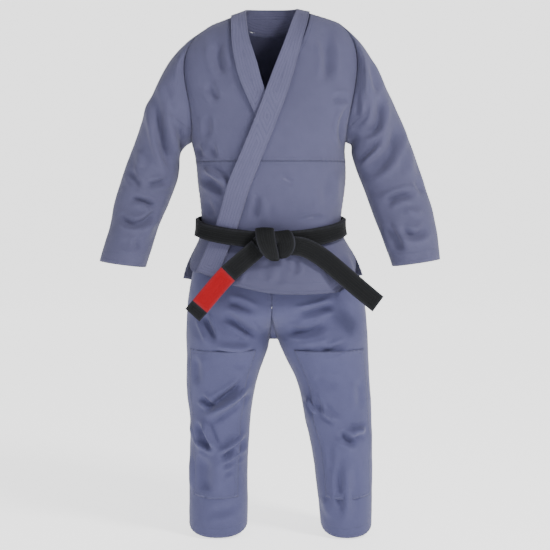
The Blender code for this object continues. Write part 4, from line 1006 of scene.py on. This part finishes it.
def smooth_curve(keys, values, wanted):
    """Values on a smooth curve through the keys."""
    slopes = np.gradient(values, keys)
    index = np.clip(np.searchsorted(keys, wanted, side="right") - 1, 0, len(keys) - 2)
    share = wanted - keys[index]
    square, cube = share ** 2, share ** 3
    return (values[index] * (2 * cube - 3 * square + 1) + slopes[index] * (cube - 2 * square + share)
            + values[index + 1] * (3 * square - 2 * cube) + slopes[index + 1] * (cube - square))


# Stage

def aim(obj, place, target):
    """Put a lamp or camera at a place, looking at a target."""
    obj.location = place
    obj.rotation_euler = (Vector(target) - Vector(place)).to_track_quat("-Z", "Y").to_euler()


def area_light(name, place, target, size, power, colour):
    """A soft area light."""
    data = bpy.data.lights.new(name, "AREA")
    data.shape = "RECTANGLE"
    data.size, data.size_y = size
    data.energy = power
    data.color = colour
    made = bpy.data.objects.new(name, data)
    bpy.context.scene.collection.objects.link(made)
    aim(made, place, target)


def make_floor(settings):
    """A plain pale floor that turns up into a backdrop far behind."""
    bm = bmesh.new()
    bmesh.ops.create_grid(bm, x_segments=8, y_segments=80, size=BACKDROP_REACH)
    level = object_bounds()[0][2] - settings.floor_drop
    for vert in bm.verts:
        back = max(vert.co.y - BACKDROP_START, 0.0)
        vert.co.z = level + BACKDROP_RISE * back * back
    mesh = bpy.data.meshes.new("floor")
    bm.to_mesh(mesh)
    bm.free()
    mesh.shade_smooth()
    floor = bpy.data.objects.new("floor", mesh)
    bpy.context.scene.collection.objects.link(floor)
    paper = bpy.data.materials.new("floor_paper")
    paper.use_nodes = True
    shader = paper.node_tree.nodes["Principled BSDF"]
    shader.inputs["Base Color"].default_value = tuple(settings.floor_colour)
    shader.inputs["Roughness"].default_value = 0.95
    shader.inputs["Emission Color"].default_value = WHITE
    shader.inputs["Emission Strength"].default_value = settings.floor_glow
    mesh.materials.append(paper)
    floor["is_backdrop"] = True


# Operators

class GI_OT_jacket(bpy.types.Operator):
    """Make the jacket's back, fronts and sleeves"""
    bl_idname = "gi.jacket"
    bl_label = "Jacket"

    def execute(self, context):
        for node in [name for name, row in PANELS.items() if row[-1] == "pearl"]:
            soft_piece(node, material_for("pearl"))
        return {"FINISHED"}


class GI_OT_lapel(bpy.types.Operator):
    """Make the lapel and collar band"""
    bl_idname = "gi.lapel"
    bl_label = "Lapel and collar"

    def execute(self, context):
        soft_piece("lapel_collar", material_for("band"))
        return {"FINISHED"}


class GI_OT_trousers(bpy.types.Operator):
    """Make the trouser legs, knee patches, gusset and waistband"""
    bl_idname = "gi.trousers"
    bl_label = "Trousers"

    def execute(self, context):
        for node in [name for name, row in PANELS.items() if row[-1] == "drill"]:
            soft_piece(node, material_for("drill"))
        return {"FINISHED"}


class GI_OT_belt(bpy.types.Operator):
    """Make the belt's turns, tails and bar"""
    bl_idname = "gi.belt"
    bl_label = "Belt"

    def execute(self, context):
        for node in [name for name, row in PANELS.items() if row[-1] in ("belt", "bar")]:
            soft_piece(node, material_for(PANELS[node][-1]))
        return {"FINISHED"}


class GI_OT_knot(bpy.types.Operator):
    """Make the belt's knot from bent straps"""
    bl_idname = "gi.knot"
    bl_label = "Knot"

    def execute(self, context):
        for name, path in KNOT_STRAPS.items():
            made, length = strap(name, path)
            finish_piece(made, "belt_knot")
        return {"FINISHED"}


class GI_OT_stage(bpy.types.Operator):
    """Make the floor, light and camera"""
    bl_idname = "gi.stage"
    bl_label = "Stage"

    def execute(self, context):
        settings = context.scene.gi_stage
        make_floor(settings)
        area_light("key", KEY_PLACE, LIT_POINT, KEY_SIZE, settings.key_power, KEY_COLOUR)
        area_light("fill", FILL_PLACE, LIT_POINT, FILL_SIZE, settings.fill_power, FILL_COLOUR)
        world = bpy.data.worlds.new("pale")
        world.use_nodes = True
        surround = world.node_tree.nodes["Background"]
        surround.inputs["Color"].default_value = WHITE
        surround.inputs["Strength"].default_value = settings.sky
        context.scene.world = world
        data = bpy.data.cameras.new("photo_camera")
        data.lens = settings.lens
        data.sensor_width = SENSOR_WIDTH
        camera = bpy.data.objects.new("photo_camera", data)
        context.scene.collection.objects.link(camera)
        aim(camera, CAMERA_PLACE, CAMERA_AIM)
        context.scene.camera = camera
        return {"FINISHED"}


class GI_PT_panel(bpy.types.Panel):
    """Buttons for the gi's pieces"""
    bl_label = "Jiu-jitsu gi"
    bl_space_type = "VIEW_3D"
    bl_region_type = "UI"
    bl_category = "Gi"

    def draw(self, context):
        for operator in OPERATORS:
            self.layout.operator(operator.bl_idname)
        for settings in (context.scene.gi_cloth, context.scene.gi_belt, context.scene.gi_stage):
            for name in settings.bl_rna.properties.keys():
                if name not in ("rna_type", "name"):
                    self.layout.prop(settings, name)


OPERATORS = (GI_OT_jacket, GI_OT_lapel, GI_OT_trousers, GI_OT_belt, GI_OT_knot, GI_OT_stage)
SETTINGS = (("gi_cloth", GiClothSettings), ("gi_belt", GiBeltSettings), ("gi_stage", GiStageSettings))


def register():
    """Add the settings, operators and panel."""
    for name, settings in SETTINGS:
        bpy.utils.register_class(settings)
        setattr(bpy.types.Scene, name, PointerProperty(type=settings))
    for operator in OPERATORS:
        bpy.utils.register_class(operator)
    bpy.utils.register_class(GI_PT_panel)


def unregister():
    """Take the settings, operators and panel away."""
    bpy.utils.unregister_class(GI_PT_panel)
    for operator in reversed(OPERATORS):
        bpy.utils.unregister_class(operator)
    for name, settings in reversed(SETTINGS):
        delattr(bpy.types.Scene, name)
        bpy.utils.unregister_class(settings)


def main():
    """Build every piece."""
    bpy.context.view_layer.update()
    register()
    bpy.ops.gi.jacket()
    bpy.ops.gi.lapel()
    bpy.ops.gi.trousers()
    bpy.ops.gi.belt()
    bpy.ops.gi.knot()
    bpy.ops.gi.stage()


if __name__ == "__main__":
    main()
